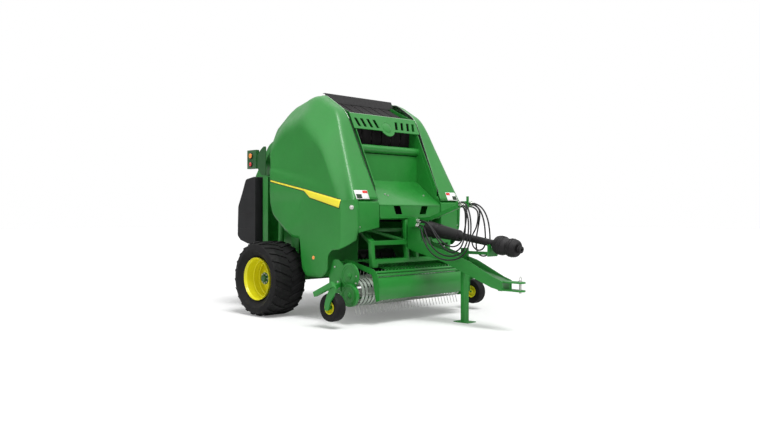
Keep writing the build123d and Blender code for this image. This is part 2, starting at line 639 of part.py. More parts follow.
# Pick-up
band_low = REEL_Z - BAND_RADIUS
band_high = REEL_Z + BAND_RADIUS
RAIL_X = 1262
band_shape = Pos((RAIL_X + REEL_X) / 2, REEL_Z) * Rectangle(REEL_X - RAIL_X, 2 * BAND_RADIUS)
band_shape += Pos(REEL_X, REEL_Z) * Circle(BAND_RADIUS)
inner = BAND_RADIUS - BAND_THICKNESS
band_shape -= Pos(REEL_X, REEL_Z) * Circle(inner)
band_shape -= Pos((RAIL_X - 10 + REEL_X) / 2, REEL_Z) * Rectangle(REEL_X - RAIL_X + 10, 2 * inner)
one_band = extrude(Plane.XZ * band_shape, amount=BAND_WIDTH / 2, both=True)
first_band = -(BAND_COUNT - 1) / 2 * TINE_PITCH
bands = [Pos(0, first_band + index * TINE_PITCH, 0) * one_band for index in range(BAND_COUNT)]
RAIL_HALF = (BAND_COUNT - 1) / 2 * TINE_PITCH + BAND_WIDTH / 2
rail_top = block((RAIL_X - 44, -RAIL_HALF, band_high - 18),
                 (RAIL_X + 6, RAIL_HALF, band_high - BAND_THICKNESS + 1))
rail_low = block((RAIL_X - 80, -RAIL_HALF, band_low), (RAIL_X + 6, RAIL_HALF, band_low + BAND_THICKNESS))
BEAM = 80
beam_low = band_low + BAND_THICKNESS
nodes["stripper_bands"] = [rail_top + rail_low + bands]
pickup_beam = block((RAIL_X - 80, -PICKUP_HALF, beam_low), (RAIL_X, PICKUP_HALF, beam_low + BEAM))
ARM_Y = CHAMBER_HALF + PLATE + 12
arm_rows = [(RAIL_X - 80, beam_low, 0), (RAIL_X, beam_low, 0), (RAIL_X, beam_low + BEAM, 30), (1100, 690, 60),
            (1050, 790, 60), (880, 790, 80), (850, 620, 80), (960, 540, 60)]
for side in (-1, 1):
    y_low = min(side * ARM_Y, side * (ARM_Y + 40))
    arm = plate(arm_rows, y_low, y_low + 40)
    arm -= across(PIVOT_BOSS_RADIUS + RUNNING_GAP, ROTOR_X, ROTOR_Z, y_low - 1, y_low + 41)
    pickup_beam += arm
nodes["pickup_beam"] = [pickup_beam]
end_rows = [
    (RAIL_X - 80, beam_low, 10), (1520, 262, 60), (1700, 400, 60), (1700, 640, 60), (1480, 780, 60),
    (1380, 860, 40), (1270, 860, 40), (1180, 640, 60),
]
END_WALL = 10
END_FACE = -PICKUP_HALF - END_WALL
end_plate = plate(end_rows, END_FACE, -PICKUP_HALF)
end_plate += across(172, 1605, 655, END_FACE - 14, -PICKUP_HALF)
end_plate += across(150, 1625, 400, END_FACE - 40, -PICKUP_HALF)
end_plate -= across(30 + RUNNING_GAP, REEL_X, REEL_Z, END_FACE - 20, -PICKUP_HALF + 1)
end_plate += across(26, WINDGUARD_X, WINDGUARD_Z, -PICKUP_HALF, -PICKUP_HALF + 40)
end_plate -= across(WIND_TUBE + RUNNING_GAP, WINDGUARD_X, WINDGUARD_Z, -PICKUP_HALF, -PICKUP_HALF + 41)
nodes["pickup_sides"] = pair(end_plate)

# Gauge wheel arms: a square tube leads outwards over the wheel, a second one runs back along its
# outer side, and a curved plate comes down from there to the spindle
GAUGE_SPINDLE = 14
GAUGE_OUTER = -GAUGE_Y - GAUGE_WIDTH / 2 - 10
ARM_TUBE = 56
arm_centre = GAUGE_OUTER - ARM_TUBE / 2
gauge_arm = block((1335, END_FACE - 14, 440), (1430, END_FACE, 600))
gauge_arm += bar((1400, END_FACE - 17, 525), (1725, arm_centre, 525), ARM_TUBE, ARM_TUBE)
gauge_arm += bar((1433, arm_centre, 434), (1790, arm_centre, 590), ARM_TUBE, 66)
swan_rows = [
    (1652, 236, 34), (1616, 250, 20), (1618, 330, 60), (1655, 430, 80), (1700, 500, 40), (1790, 575, 20),
    (1830, 540, 30), (1790, 440, 120), (1726, 360, 80), (1690, 250, 20),
]
gauge_arm += plate(swan_rows, GAUGE_OUTER - 24, GAUGE_OUTER)
gauge_arm += across(24, GAUGE_X, GAUGE_Z, GAUGE_OUTER, -GAUGE_Y - 26)
gauge_arm += across(GAUGE_SPINDLE, GAUGE_X, GAUGE_Z, GAUGE_OUTER, -GAUGE_Y + 70)
nodes["gauge_arms"] = pair(gauge_arm)

gauge_tyre = tyre(GAUGE_WIDTH, GAUGE_RADIUS, GAUGE_RIM - GAUGE_WALL - 1 + SEAT_GAP, 0, 0, 0)
gauge_rim = rim(GAUGE_WIDTH * 0.85, GAUGE_RIM, GAUGE_WALL, 45, 34, GAUGE_SPINDLE + RUNNING_GAP)
gauge_place = Pos(GAUGE_X, -GAUGE_Y, GAUGE_Z)
nodes["gauge_tyre_right"] = [gauge_place * gauge_tyre]
nodes["gauge_rim_right"] = [gauge_place * gauge_rim]
nodes["gauge_tyre_left"] = [other_side(nodes["gauge_tyre_right"][0])]
nodes["gauge_rim_left"] = [other_side(nodes["gauge_rim_right"][0])]

# Tined reel
REEL_HALF = PICKUP_HALF - 12
tine_bar = across(TINE_BAR_RADIUS, TINE_BAR_PITCH_RADIUS, 0, -REEL_HALF + 20, REEL_HALF - 20)
first_tine = first_band - TINE_PITCH / 2
tine_low = TINE_BAR_PITCH_RADIUS
tines = []
for index in range(BAND_COUNT + 1):
    y_centre = first_tine + index * TINE_PITCH
    tines.append(block((tine_low, y_centre - TINE_SECTION / 2, -TINE_SECTION / 2),
                       (TINE_REACH, y_centre + TINE_SECTION / 2, TINE_SECTION / 2)))
one_row = tine_bar + tines
reel = across(45, 0, 0, -REEL_HALF, REEL_HALF)
reel += across(30, 0, 0, -REEL_HALF - 20, REEL_HALF + 20)
SPIDER_RADIUS = TINE_BAR_PITCH_RADIUS + 24
for y_disc in (-REEL_HALF + 20, -5, REEL_HALF - 30):
    reel += across(SPIDER_RADIUS, 0, 0, y_disc, y_disc + 10)
rows = [Rot(0, index * 360 / TINE_BARS, 0) * one_row for index in range(TINE_BARS)]
nodes["tine_reel"] = [Pos(REEL_X, 0, REEL_Z) * (reel + rows)]

# Windguard: arms, tubes and rods, with the curved baffle sheet
WIND_ARM_Y = BAFFLE_HALF + 20
wind_arm_rows = [
    (WINDGUARD_X - 35, WINDGUARD_Z - 17, 10), (WINDGUARD_X + 30, WINDGUARD_Z - 12, 0), (1850, 676, 30),
    (1930, 325, 0), (1990, 345, 0), (1990, 520, 30), (1945, 700, 30), (1870, 750, 30),
    (WINDGUARD_X + 30, WINDGUARD_Z + 36, 0), (WINDGUARD_X - 35, WINDGUARD_Z + 32, 25),
]
windguard = []
for side in (-1, 1):
    y_low = min(side * WIND_ARM_Y, side * (WIND_ARM_Y + 8))
    windguard.append(plate(wind_arm_rows, y_low, y_low + 8))
WIND_TUBES = ((1885, 700, 20), (1925, 665, 18))
for x, z, radius in WIND_TUBES:
    windguard.append(across(radius, x, z, -WIND_ARM_Y - 4, WIND_ARM_Y + 4))
windguard.append(across(WIND_TUBE, WINDGUARD_X, WINDGUARD_Z, -PICKUP_HALF + 10, PICKUP_HALF - 10))
ROD_COUNT = 19
for index in range(ROD_COUNT):
    y_centre = (index - (ROD_COUNT - 1) / 2) * TINE_PITCH
    windguard.append(bar((1880, y_centre, 702), (1240, y_centre, 838), 10, 10))
nodes["windguard"] = [windguard[0] + windguard[1:]]
baffle_arc_out = [(1925, 640), (1972, 500), (1925, 340)]
baffle_arc_in = [(1921, 340), (1968, 500), (1921, 640)]
baffle_face = make_face(Wire([
    ThreePointArc(*baffle_arc_out),
    Line(baffle_arc_out[2], baffle_arc_in[0]),
    ThreePointArc(*baffle_arc_in),
    Line(baffle_arc_in[2], baffle_arc_out[0]),
]))
baffle = extrude(Plane.XZ * baffle_face, amount=WIND_ARM_Y, both=True)
nodes["baffle_sheet"] = [baffle]

# Feed rotor with star plates, and gathering discs outside the chamber
rotor = across(ROTOR_SHAFT, ROTOR_X, ROTOR_Z, -BOSS_END - 30, BOSS_END + 30)
rotor += across(95, ROTOR_X, ROTOR_Z, -CHAMBER_HALF + 15, CHAMBER_HALF - 15)
STAR_COUNT = 17
STAR_PITCH = 70
star = Circle(110)
for index in range(5):
    tooth_line = Polyline((80, -45), (80, 45), (ROTOR_REACH - 6, -18), (ROTOR_REACH - 2, -34), close=True)
    tooth = make_face(tooth_line)
    star += Rot(0, 0, index * 72) * tooth
for index in range(STAR_COUNT):
    y_centre = (index - (STAR_COUNT - 1) / 2) * STAR_PITCH
    twist = 18 * abs(index - (STAR_COUNT - 1) / 2)
    plane = Plane(origin=(ROTOR_X, y_centre - 4, ROTOR_Z), x_dir=(1, 0, 0), z_dir=(0, -1, 0))
    rotor += extrude(plane * (Rot(0, 0, twist) * star), amount=8, dir=(0, 1, 0))
nodes["feed_rotor"] = [rotor]

# Tailgate
gate_rows = [
    (-42, 640, 30), (-42, 2500, 60), (60, 2700, 60), (GATE_X + 60, GATE_Z - 60, 55),
    (GATE_X + 60, GATE_Z + 60, 55), (GATE_X - 60, GATE_Z + 60, 55), (-300, 2790, 200), (-800, 2560, 300),
    (-1190, 2050, 300), (-REAR_REACH, 1620, 300),
    (-REAR_REACH, 1400, 300), (-1080, 950, 300), (-700, 660, 200), (-300, 600, 100),
]
gate_side = plate(gate_rows, -GATE_SIDE_INNER - PLATE, -GATE_SIDE_INNER)
gate_side -= across(GATE_PIN_RADIUS + RUNNING_GAP, GATE_X, GATE_Z, -GATE_SIDE_INNER - PLATE - 1,
                    -GATE_SIDE_INNER + 1)
rod_arm_rows = [(-600, 2060, 20), (-600, 2330, 80), (-380, 2570, 100), (-150, 2570, 100), (-115, 2440, 60),
                (-115, 2180, 20)]
arm_low = GATE_SIDE_INNER + PLATE
lug_half = EYE_HALF + EYE_GAP
gate_side += block((-600, -CYLINDER_Y + lug_half, 2062), (-560, -arm_low + 1, 2330))
gate_side += plate(rod_arm_rows, -CYLINDER_Y + lug_half, -CYLINDER_Y + lug_half + PLATE)
gate_side += plate(rod_arm_rows, -CYLINDER_Y - lug_half - PLATE, -CYLINDER_Y - lug_half)
gate_side += block((-600, -CYLINDER_Y - lug_half - PLATE, 2062), (-560, -CYLINDER_Y + lug_half, 2330))
channel = block((-560, -CHAMBER_HALF - 325, 1020), (-430, -arm_low + 1, 2040))
channel -= block((-552, -CHAMBER_HALF - 317, 1010), (-429, -arm_low, 2050))
gate_side += channel
gate_sides = pair(gate_side)
gate_beams = [
    across(45, -1110, 2080, -GATE_SIDE_INNER - 1, GATE_SIDE_INNER + 1),
    across(40, -1010, 960, -GATE_SIDE_INNER - 1, GATE_SIDE_INNER + 1),
]
nodes["tailgate_frame"] = [gate_sides[0] + [gate_sides[1]] + gate_beams]
REAR_ROLLERS = ((-80, 2740, 70), (-780, 2400, 70), (-1080, 1500, 70), (-800, 830, 70), (-150, 760, 70))
nodes["rear_rollers"] = []
for x, z, radius in REAR_ROLLERS:
    roller = across(radius, x, z, -CHAMBER_HALF + 20, CHAMBER_HALF - 20)
    roller += across(22, x, z, -GATE_SIDE_INNER, GATE_SIDE_INNER)
    nodes["rear_rollers"].append(roller)
nodes["rear_belts"] = belt_set([REAR_ROLLERS[index] for index in (1, 0, 4, 3, 2)])

# Rear covers and lamp plates on the tailgate
COVER_WALL = 6
COVER_SIDE = CHAMBER_HALF + 380
COVER_FRONT = -685
cover_rows = [
    (COVER_FRONT, 2050, 30), (-940, 2010, 80), (-1040, 1800, 80), (-1150, 1590, 60), (-1170, 1130, 60),
    (-1090, 1060, 40), (-900, 1010, 60), (COVER_FRONT, 985, 30),
]
cover = plate(cover_rows, -COVER_SIDE, -arm_low)
cavity_rows = [(x + (COVER_WALL if x < COVER_FRONT else -COVER_WALL),
                z + (COVER_WALL if z < 1500 else -COVER_WALL), r)
               for x, z, r in cover_rows]
cover -= plate(cavity_rows, -COVER_SIDE + COVER_WALL, -arm_low + 1)
nodes["rear_covers"] = pair(cover)
LAMP_SIDE = COVER_SIDE
lamp = block((-900, -LAMP_SIDE, 2170), (-664, -LAMP_SIDE + 60, 2460))
lamp -= block((-901, -LAMP_SIDE + 6, 2178), (-672, -LAMP_SIDE + 61, 2452))
bracket_rows = [
    (-690, 2210, 0), (-690, 2330, 20), (-590, 2440, 60), (-500, 2500, 40), (-440, 2500, 20), (-440, 2060, 20),
    (-540, 2060, 40),
]
lamp += plate(bracket_rows, -LAMP_SIDE + 20, -LAMP_SIDE + 32)
lamp += block((-640, -LAMP_SIDE + 20, 2240), (-604, -arm_low, 2300))
nodes["lamp_plates"] = pair(lamp)

# Tailgate cylinders
cyl_run = Vector(ROD_EYE[0] - BARREL_EYE[0], 0, ROD_EYE[1] - BARREL_EYE[1])
cyl_length = cyl_run.length
cyl_plane = Plane(origin=(BARREL_EYE[0], 0, BARREL_EYE[1]), x_dir=(0, 1, 0), z_dir=cyl_run)
BARREL_LENGTH = 1100
barrel = Pos(0, 0, 60 + (BARREL_LENGTH - 60) / 2) * Cylinder(BARREL_RADIUS, BARREL_LENGTH - 60)
barrel += Pos(0, 0, 30) * Box(2 * EYE_HALF, 56, 70)
barrel += Rot(0, 90, 0) * Cylinder(EYE_RADIUS, 2 * EYE_HALF)
barrel -= Rot(0, 90, 0) * Cylinder(EYE_PIN + RUNNING_GAP, 2 * EYE_HALF + 2)
BORE_DEPTH = 880
barrel -= Pos(0, 0, BARREL_LENGTH - BORE_DEPTH / 2) * Cylinder(ROD_RADIUS + RUNNING_GAP, BORE_DEPTH + 0.01)
rod_length = cyl_length - (BARREL_LENGTH - BORE_DEPTH) - 20
piston = Pos(0, 0, cyl_length - EYE_RADIUS - rod_length / 2 + EYE_RADIUS) * Cylinder(ROD_RADIUS, rod_length)
piston += Pos(0, 0, cyl_length) * Rot(0, 90, 0) * Cylinder(EYE_RADIUS, 2 * EYE_HALF)
for side, name in ((-1, "right"), (1, "left")):
    place = Pos(0, side * CYLINDER_Y, 0)
    nodes[f"cylinder_barrel_{name}"] = [place * (cyl_plane * barrel)]
    nodes[f"cylinder_rod_{name}"] = [place * (cyl_plane * piston)]

# Side shields. Sections across the machine, front to rear, each an outer corner line from the
# side panel over the shoulder to the inner edge, and the depth of its wall measured down.
# Columns: x, height of the side panel's edge, shoulder y and z, inner edge y and z, wall depth.
SHIELD_SECTIONS = (
    (SHIELD_REAR, 2400, CHAMBER_HALF + 360, 2790, CHAMBER_HALF + 100, 2860, 14),
    (180, 2680, CHAMBER_HALF + 310, 3020, CHAMBER_HALF + 100, 3060, 14),
    (650, 2810, CHAMBER_HALF + 260, 3172, CHAMBER_HALF + 100, 3200, 14),
    (1100, 2385, CHAMBER_HALF + 242, 2915, CHAMBER_HALF + 84, 2915, 22),
    (1400, 1765, CHAMBER_HALF + 364, 2262, CHAMBER_HALF + 47, 2262, 26),
    (1640, 1265, CHAMBER_HALF + 465, 1745, CHAMBER_HALF + 24, 1745, 26),
)
SHIELD_BOTTOM = 560


def shield_section(x, side_z, shoulder_y, shoulder_z, edge_y, edge_z, depth):
    wall = SHIELD_WALL
    lean = wall * 0.6
    points = [
        (-SHIELD_SIDE, SHIELD_BOTTOM),
        (-SHIELD_SIDE, side_z),
        (-shoulder_y, shoulder_z),
        (-edge_y, edge_z),
        (-edge_y, edge_z - depth),
        (-shoulder_y + lean, shoulder_z - depth),
        (-SHIELD_SIDE + wall, side_z - lean),
        (-SHIELD_SIDE + wall, SHIELD_BOTTOM),
    ]
    outline = make_face(Polyline(*points, close=True))
    return Plane(origin=(x, 0, 0), x_dir=(0, 1, 0), z_dir=(1, 0, 0)) * outline


upper_shell = loft([shield_section(*row) for row in SHIELD_SECTIONS], ruled=True)
# Nose under the front strip: level sections. Columns: z, side panel's front end, nose x, corner y.
NOSE_SECTIONS = (
    (1000, 1470, 1640, CHAMBER_HALF + 430),
    (1160, 1480, 1700, CHAMBER_HALF + 420),
    (1500, 1480, 1700, CHAMBER_HALF + 440),
    (1742, 1408, 1648, CHAMBER_HALF + 465),
)
NOSE_INNER = CHAMBER_HALF + 395


def nose_section(z, side_x, nose_x, corner_y):
    wall = SHIELD_WALL
    points = [
        (1380, -SHIELD_SIDE),
        (side_x, -SHIELD_SIDE),
        (nose_x, -corner_y),
        (nose_x, -NOSE_INNER),
        (nose_x - wall, -NOSE_INNER),
        (nose_x - wall, -corner_y + wall * 0.6),
        (side_x - 4, -SHIELD_SIDE + wall),
        (1380, -SHIELD_SIDE + wall),
    ]
    return Plane.XY.offset(z) * make_face(Polyline(*points, close=True))


nose = loft([nose_section(*row) for row in NOSE_SECTIONS], ruled=True)
upper_shell -= block((1385, -SHIELD_SIDE - 10, SHIELD_BOTTOM - 10), (1800, -CHAMBER_HALF, 1741))
shield = upper_shell + nose
keep_rows = [
    (SHIELD_REAR, 3300, 0), (SHIELD_REAR, 1640, 0), (-40, 1470, 120), (210, 1270, 200), (450, 1140, 120),
    (610, 1130, 60), (665, 700, 120), (760, 610, 80), (1090, 605, 80), (1215, 700, 80), (1215, 900, 60),
    (1290, 985, 120), (1470, 1000, 160), (1590, 1070, 100), (1720, 1180, 0), (1760, 3300, 0),
]
shield = shield & plate(keep_rows, -SHIELD_SIDE - 20, -CHAMBER_HALF)
knuckle_span = (-KNUCKLE_RADIUS - 6, KNUCKLE_RADIUS + 6)
for start in KNUCKLE_STARTS:
    own_start = start + KNUCKLE + 6
    shield -= hinge_block(knuckle_span, knuckle_span, start - 6, KNUCKLE + 12)
    shield += knuckle(own_start, KNUCKLE_RADIUS) + hinge_block((0, 26), (-6, 8), own_start)
    shield -= shield_pin(start) & hinge_block((-50, 50), (-50, 50), start + KNUCKLE, 2 * KNUCKLE)
nodes["shield_right"] = [shield]
nodes["shield_left"] = [other_side(shield)]

os.makedirs("parts", exist_ok=True)
for name, solids in nodes.items():
    pieces = []
    for piece in solids:
        pieces += piece.solids()
    export_step(Pos(SHIFT_X, 0, 0) * Compound(pieces), f"parts/{name}.step")
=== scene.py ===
import json
from math import cos, hypot, pi, radians, sin

import bmesh
import bpy
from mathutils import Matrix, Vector
from mathutils.bvhtree import BVHTree

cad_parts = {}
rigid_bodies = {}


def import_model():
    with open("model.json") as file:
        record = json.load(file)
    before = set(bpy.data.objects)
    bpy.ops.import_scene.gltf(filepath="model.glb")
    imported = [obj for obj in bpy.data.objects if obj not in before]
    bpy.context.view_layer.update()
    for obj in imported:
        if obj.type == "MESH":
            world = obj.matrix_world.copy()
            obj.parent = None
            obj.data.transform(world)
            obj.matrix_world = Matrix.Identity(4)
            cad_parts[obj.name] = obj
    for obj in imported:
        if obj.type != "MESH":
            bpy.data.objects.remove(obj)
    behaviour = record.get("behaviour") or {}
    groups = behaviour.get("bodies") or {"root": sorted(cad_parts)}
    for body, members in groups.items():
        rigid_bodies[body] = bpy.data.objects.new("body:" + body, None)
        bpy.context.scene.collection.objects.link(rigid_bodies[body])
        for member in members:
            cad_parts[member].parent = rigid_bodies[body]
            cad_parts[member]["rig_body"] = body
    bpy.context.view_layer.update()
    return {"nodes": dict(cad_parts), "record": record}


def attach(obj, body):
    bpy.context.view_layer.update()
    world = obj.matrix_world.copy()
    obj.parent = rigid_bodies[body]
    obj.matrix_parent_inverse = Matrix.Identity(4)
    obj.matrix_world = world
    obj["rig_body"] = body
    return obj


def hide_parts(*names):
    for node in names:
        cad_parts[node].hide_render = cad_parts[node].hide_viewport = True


# The looks of a drawn round baler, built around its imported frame. Places are given in
# millimetres of the machine's own drawing, whose X = 0 is the wheels' line, and at() turns
# them into metres of the shared frame. Sections of turned forms are in metres.

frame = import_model()
nodes = frame["nodes"]

DRAWING_SHIFT = -1.175
SIDES = (("right", -1), ("left", 1))


def at(x, y, z):
    """A place of the drawing, in metres of the shared frame."""
    return Vector((x / 1000 + DRAWING_SHIFT, y / 1000, z / 1000))


# ---- Materials -------------------------------------------------------------------------


def new_material(name):
    """An empty material with its output and main shader."""
    made = bpy.data.materials.new(name)
    made.use_nodes = True
    tree = made.node_tree
    tree.nodes.clear()
    output = tree.nodes.new("ShaderNodeOutputMaterial")
    shader = tree.nodes.new("ShaderNodeBsdfPrincipled")
    tree.links.new(shader.outputs["BSDF"], output.inputs["Surface"])
    return made, tree, shader


def noise(tree, scale, detail=4.0, roughness=0.55, stretch=None):
    """Noise in the shared frame's metres, with its own stretch."""
    place = tree.nodes.new("ShaderNodeTexCoord")
    texture = tree.nodes.new("ShaderNodeTexNoise")
    texture.inputs["Scale"].default_value = scale
    texture.inputs["Detail"].default_value = detail
    texture.inputs["Roughness"].default_value = roughness
    source = place.outputs["Object"]
    if stretch:
        mapping = tree.nodes.new("ShaderNodeMapping")
        mapping.inputs["Scale"].default_value = stretch
        tree.links.new(source, mapping.inputs["Vector"])
        source = mapping.outputs["Vector"]
    tree.links.new(source, texture.inputs["Vector"])
    return texture.outputs["Fac"]


def ramp(tree, value, stops):
    """Colour or grey ramp; each stop is a position and a colour."""
    node = tree.nodes.new("ShaderNodeValToRGB")
    points = node.color_ramp.elements
    while len(points) < len(stops):
        points.new(0.5)
    for point, (position, colour) in zip(points, stops):
        point.position = position
        point.color = (*colour, 1)
    tree.links.new(value, node.inputs["Fac"])
    return node.outputs["Color"]


def bump(tree, shader, height, strength, distance):
    """Fine relief; the distance is in metres."""
    node = tree.nodes.new("ShaderNodeBump")
    node.inputs["Strength"].default_value = strength
    node.inputs["Distance"].default_value = distance
    tree.links.new(height, node.inputs["Height"])
    tree.links.new(node.outputs["Normal"], shader.inputs["Normal"])


def grey(level):
    """The level as a colour."""
    return (level, level, level)


def enamel(name, colour, darker, roughness, coat):
    """Sprayed gloss paint: slight drifts of tone, a little dust in them, fine orange peel."""
    made, tree, shader = new_material(name)
    drift = noise(tree, 1.6, 5, 0.6)
    tone = ramp(tree, drift, [(0.32, darker), (0.68, colour)])
    tree.links.new(tone, shader.inputs["Base Color"])
    dust = noise(tree, 9, 8, 0.65)
    dull = ramp(tree, dust, [(0.3, grey(roughness - 0.06)), (0.75, grey(roughness + 0.14))])
    tree.links.new(dull, shader.inputs["Roughness"])
    shader.inputs["Coat Weight"].default_value = coat
    shader.inputs["Coat Roughness"].default_value = 0.12
    bump(tree, shader, noise(tree, 260, 3, 0.5), 0.06, 0.0006)
    return made


def moulded(name, colour, roughness, grain, depth):
    """Plastic with a fine moulded grain."""
    made, tree, shader = new_material(name)
    drift = noise(tree, 3, 4)
    lighter = [min(1, part * 1.5 + 0.004) for part in colour]
    tone = ramp(tree, drift, [(0.35, colour), (0.75, lighter)])
    tree.links.new(tone, shader.inputs["Base Color"])
    shader.inputs["Roughness"].default_value = roughness
    shader.inputs["Specular IOR Level"].default_value = 0.28
    bump(tree, shader, noise(tree, grain, 2), depth, 0.0005)
    return made


def rubber(name, colour, dusty, roughness=0.72, scale=55, depth=0.25):
    """Moulded rubber with dusty patches."""
    made, tree, shader = new_material(name)
    drift = noise(tree, 6, 8, 0.7)
    tone = ramp(tree, drift, [(0.38, colour), (0.8, dusty)])
    tree.links.new(tone, shader.inputs["Base Color"])
    fine = noise(tree, 24, 5)
    dull = ramp(tree, fine, [(0.3, grey(roughness - 0.12)), (0.7, grey(roughness + 0.1))])
    tree.links.new(dull, shader.inputs["Roughness"])
    shader.inputs["Specular IOR Level"].default_value = 0.22
    bump(tree, shader, noise(tree, scale, 6, 0.7), depth, 0.001)
    return made


def metal(name, colour, roughness, metallic=1.0, stretch=None, depth=0.08):
    """Bare or plated metal with light streaks."""
    made, tree, shader = new_material(name)
    streak = noise(tree, 30, 6, 0.6, stretch)
    duller = [part * 0.72 for part in colour]
    tone = ramp(tree, streak, [(0.3, duller), (0.7, colour)])
    tree.links.new(tone, shader.inputs["Base Color"])
    dull = ramp(tree, streak, [(0.3, grey(roughness + 0.1)), (0.7, grey(roughness - 0.06))])
    tree.links.new(dull, shader.inputs["Roughness"])
    shader.inputs["Metallic"].default_value = metallic
    bump(tree, shader, streak, depth, 0.0006)
    return made


def multiplied(tree, first, second):
    """Product of two values; the second may be a number."""
    node = tree.nodes.new("ShaderNodeMath")
    node.operation = "MULTIPLY"
    tree.links.new(first, node.inputs[0])
    if isinstance(second, float):
        node.inputs[1].default_value = second
    else:
        tree.links.new(second, node.inputs[1])
    return node.outputs[0]


def belting(name):
    """Textured rubber belt: a diamond of two crossed waves."""
    made, tree, shader = new_material(name)
    place = tree.nodes.new("ShaderNodeTexCoord")
    waves = []
    for turn in (0.7, -0.7):
        mapping = tree.nodes.new("ShaderNodeMapping")
        mapping.inputs["Rotation"].default_value = (turn, 0, 0)
        wave = tree.nodes.new("ShaderNodeTexWave")
        wave.bands_direction = "Y"
        wave.inputs["Scale"].default_value = 28
        wave.inputs["Distortion"].default_value = 0.4
        tree.links.new(place.outputs["Object"], mapping.inputs["Vector"])
        tree.links.new(mapping.outputs["Vector"], wave.inputs["Vector"])
        waves.append(wave.outputs["Fac"])
    drift = noise(tree, 5, 6, 0.6)
    tone = ramp(tree, drift, [(0.35, (0.004, 0.003, 0.0035)), (0.75, (0.010, 0.008, 0.009))])
    tree.links.new(tone, shader.inputs["Base Color"])
    shader.inputs["Roughness"].default_value = 0.62
    shader.inputs["Specular IOR Level"].default_value = 0.15
    bump(tree, shader, multiplied(tree, *waves), 0.5, 0.002)
    return made


def lens(name, colour):
    """Ribbed reflector plastic."""
    made, tree, shader = new_material(name)
    fine = noise(tree, 400, 2)
    lighter = [min(1, part * 1.25) for part in colour]
    tree.links.new(ramp(tree, fine, [(0.3, colour), (0.7, lighter)]), shader.inputs["Base Color"])
    shader.inputs["Roughness"].default_value = 0.15
    shader.inputs["Coat Weight"].default_value = 0.8
    bump(tree, shader, fine, 0.4, 0.0008)
    return made


GREEN = enamel("green_enamel", (0.012, 0.222, 0.024), (0.010, 0.190, 0.020), 0.42, 0.12)
YELLOW = enamel("yellow_enamel", (0.82, 0.78, 0.012), (0.76, 0.71, 0.011), 0.38, 0.2)
DECAL_YELLOW = enamel("stripe_yellow", (0.93, 0.82, 0.035), (0.90, 0.78, 0.03), 0.4, 0.15)
DECAL_DARK = moulded("stripe_edge", (0.012, 0.03, 0.012), 0.5, 900, 0.05)
LABEL_WHITE = moulded("label_white", (0.80, 0.80, 0.78), 0.45, 900, 0.04)
LABEL_RED = moulded("label_red", (0.62, 0.03, 0.02), 0.45, 900, 0.04)
TYRE = rubber("tyre_rubber", (0.0045, 0.0045, 0.005), (0.011, 0.0105, 0.0105))
HOSE = rubber("hose_rubber", (0.012, 0.012, 0.013), (0.03, 0.03, 0.03), 0.45, 320, 0.12)
BELT = belting("belt_rubber")
ROLLER = enamel("roller_black", (0.012, 0.011, 0.0115), (0.020, 0.018, 0.018), 0.42, 0.1)
ZINC = metal("zinc_plate", (0.66, 0.66, 0.63), 0.36)
TINE = metal("tine_steel", (0.74, 0.74, 0.71), 0.34, 0.75)
DARK_STEEL = metal("dark_steel", (0.030, 0.029, 0.030), 0.5, 0.6)
CHROME = metal("chrome", (0.82, 0.82, 0.83), 0.12, 1.0, (1, 1, 12), 0.02)
CHARCOAL = moulded("charcoal_plastic", (0.0065, 0.0067, 0.0075), 0.6, 620, 0.2)
BLACK_PLASTIC = moulded("black_plastic", (0.005, 0.0045, 0.005), 0.5, 700, 0.12)
SEAL = rubber("seal_rubber", (0.008, 0.008, 0.008), (0.018, 0.018, 0.018), 0.6, 300, 0.1)
# Pale green for thin beads on top edges: a painted highlight where light catches them.
PAINTED_HIGHLIGHT_EDGE = enamel("painted_highlight_edge", (0.42, 0.62, 0.42), (0.36, 0.56, 0.37), 0.3, 0.3)
AMBER = lens("amber_reflector", (0.85, 0.26, 0.03))
RED_LENS = lens("red_lens", (0.55, 0.015, 0.01))
# Darker green: on the lamp plates it is painted shade, for plates that lie in shadow; the hub caps
# take it too.
DARK_GREEN_AND_PAINTED_SHADE = enamel("green_dark_and_painted_shade", (0.008, 0.085, 0.014), (0.007, 0.075, 0.012), 0.4, 0.2)
BAND_STEEL = metal("band_steel", (0.46, 0.52, 0.46), 0.42, 0.5)

SLOT_LOOK = {
    "green": GREEN, "yellow": YELLOW, "tyre": TYRE, "belt": BELT, "roller": ROLLER, "hose": HOSE,
    "zinc": ZINC, "dark_steel": DARK_STEEL, "charcoal": CHARCOAL, "black_plastic": BLACK_PLASTIC,
    "chrome": CHROME,
}
# The lamp plates take the darker green as painted shade.
NODE_LOOK = {"tine_reel": TINE, "stripper_bands": BAND_STEEL, "lamp_plates": DARK_GREEN_AND_PAINTED_SHADE}
SLOT_OF = {part["node"]: part["material_slot"] for part in frame["record"]["subparts"]}

for name, node in nodes.items():
    look = NODE_LOOK.get(name, SLOT_LOOK[SLOT_OF[name]])
    for holder in node.material_slots:
        holder.material = look
    if not node.material_slots:
        node.data.materials.append(look)

# ---- Mesh helpers ----------------------------------------------------------------------

FOLD_ANGLE = 32
SOFT_ANGLE = radians(30)
FLAT_ANGLE = radians(0.6)
WELD = 2e-5


def open_piece(name, data, body, look, angle=FOLD_ANGLE):
    """A bmesh as a named piece that rides on a body, its face directions kept."""
    mesh = bpy.data.meshes.new(name)
    data.to_mesh(mesh)
    data.free()
    piece = bpy.data.objects.new(name, mesh)
    bpy.context.scene.collection.objects.link(piece)
    mesh.materials.append(look)
    mesh.polygons.foreach_set("use_smooth", [True] * len(mesh.polygons))
    mesh.set_sharp_from_angle(angle=radians(angle))
    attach(piece, body)
    return piece


def finish_piece(name, data, body, look):
    """The same for closed forms, whose faces are turned outwards first."""
    bmesh.ops.recalc_face_normals(data, faces=data.faces)
    return open_piece(name, data, body, look)


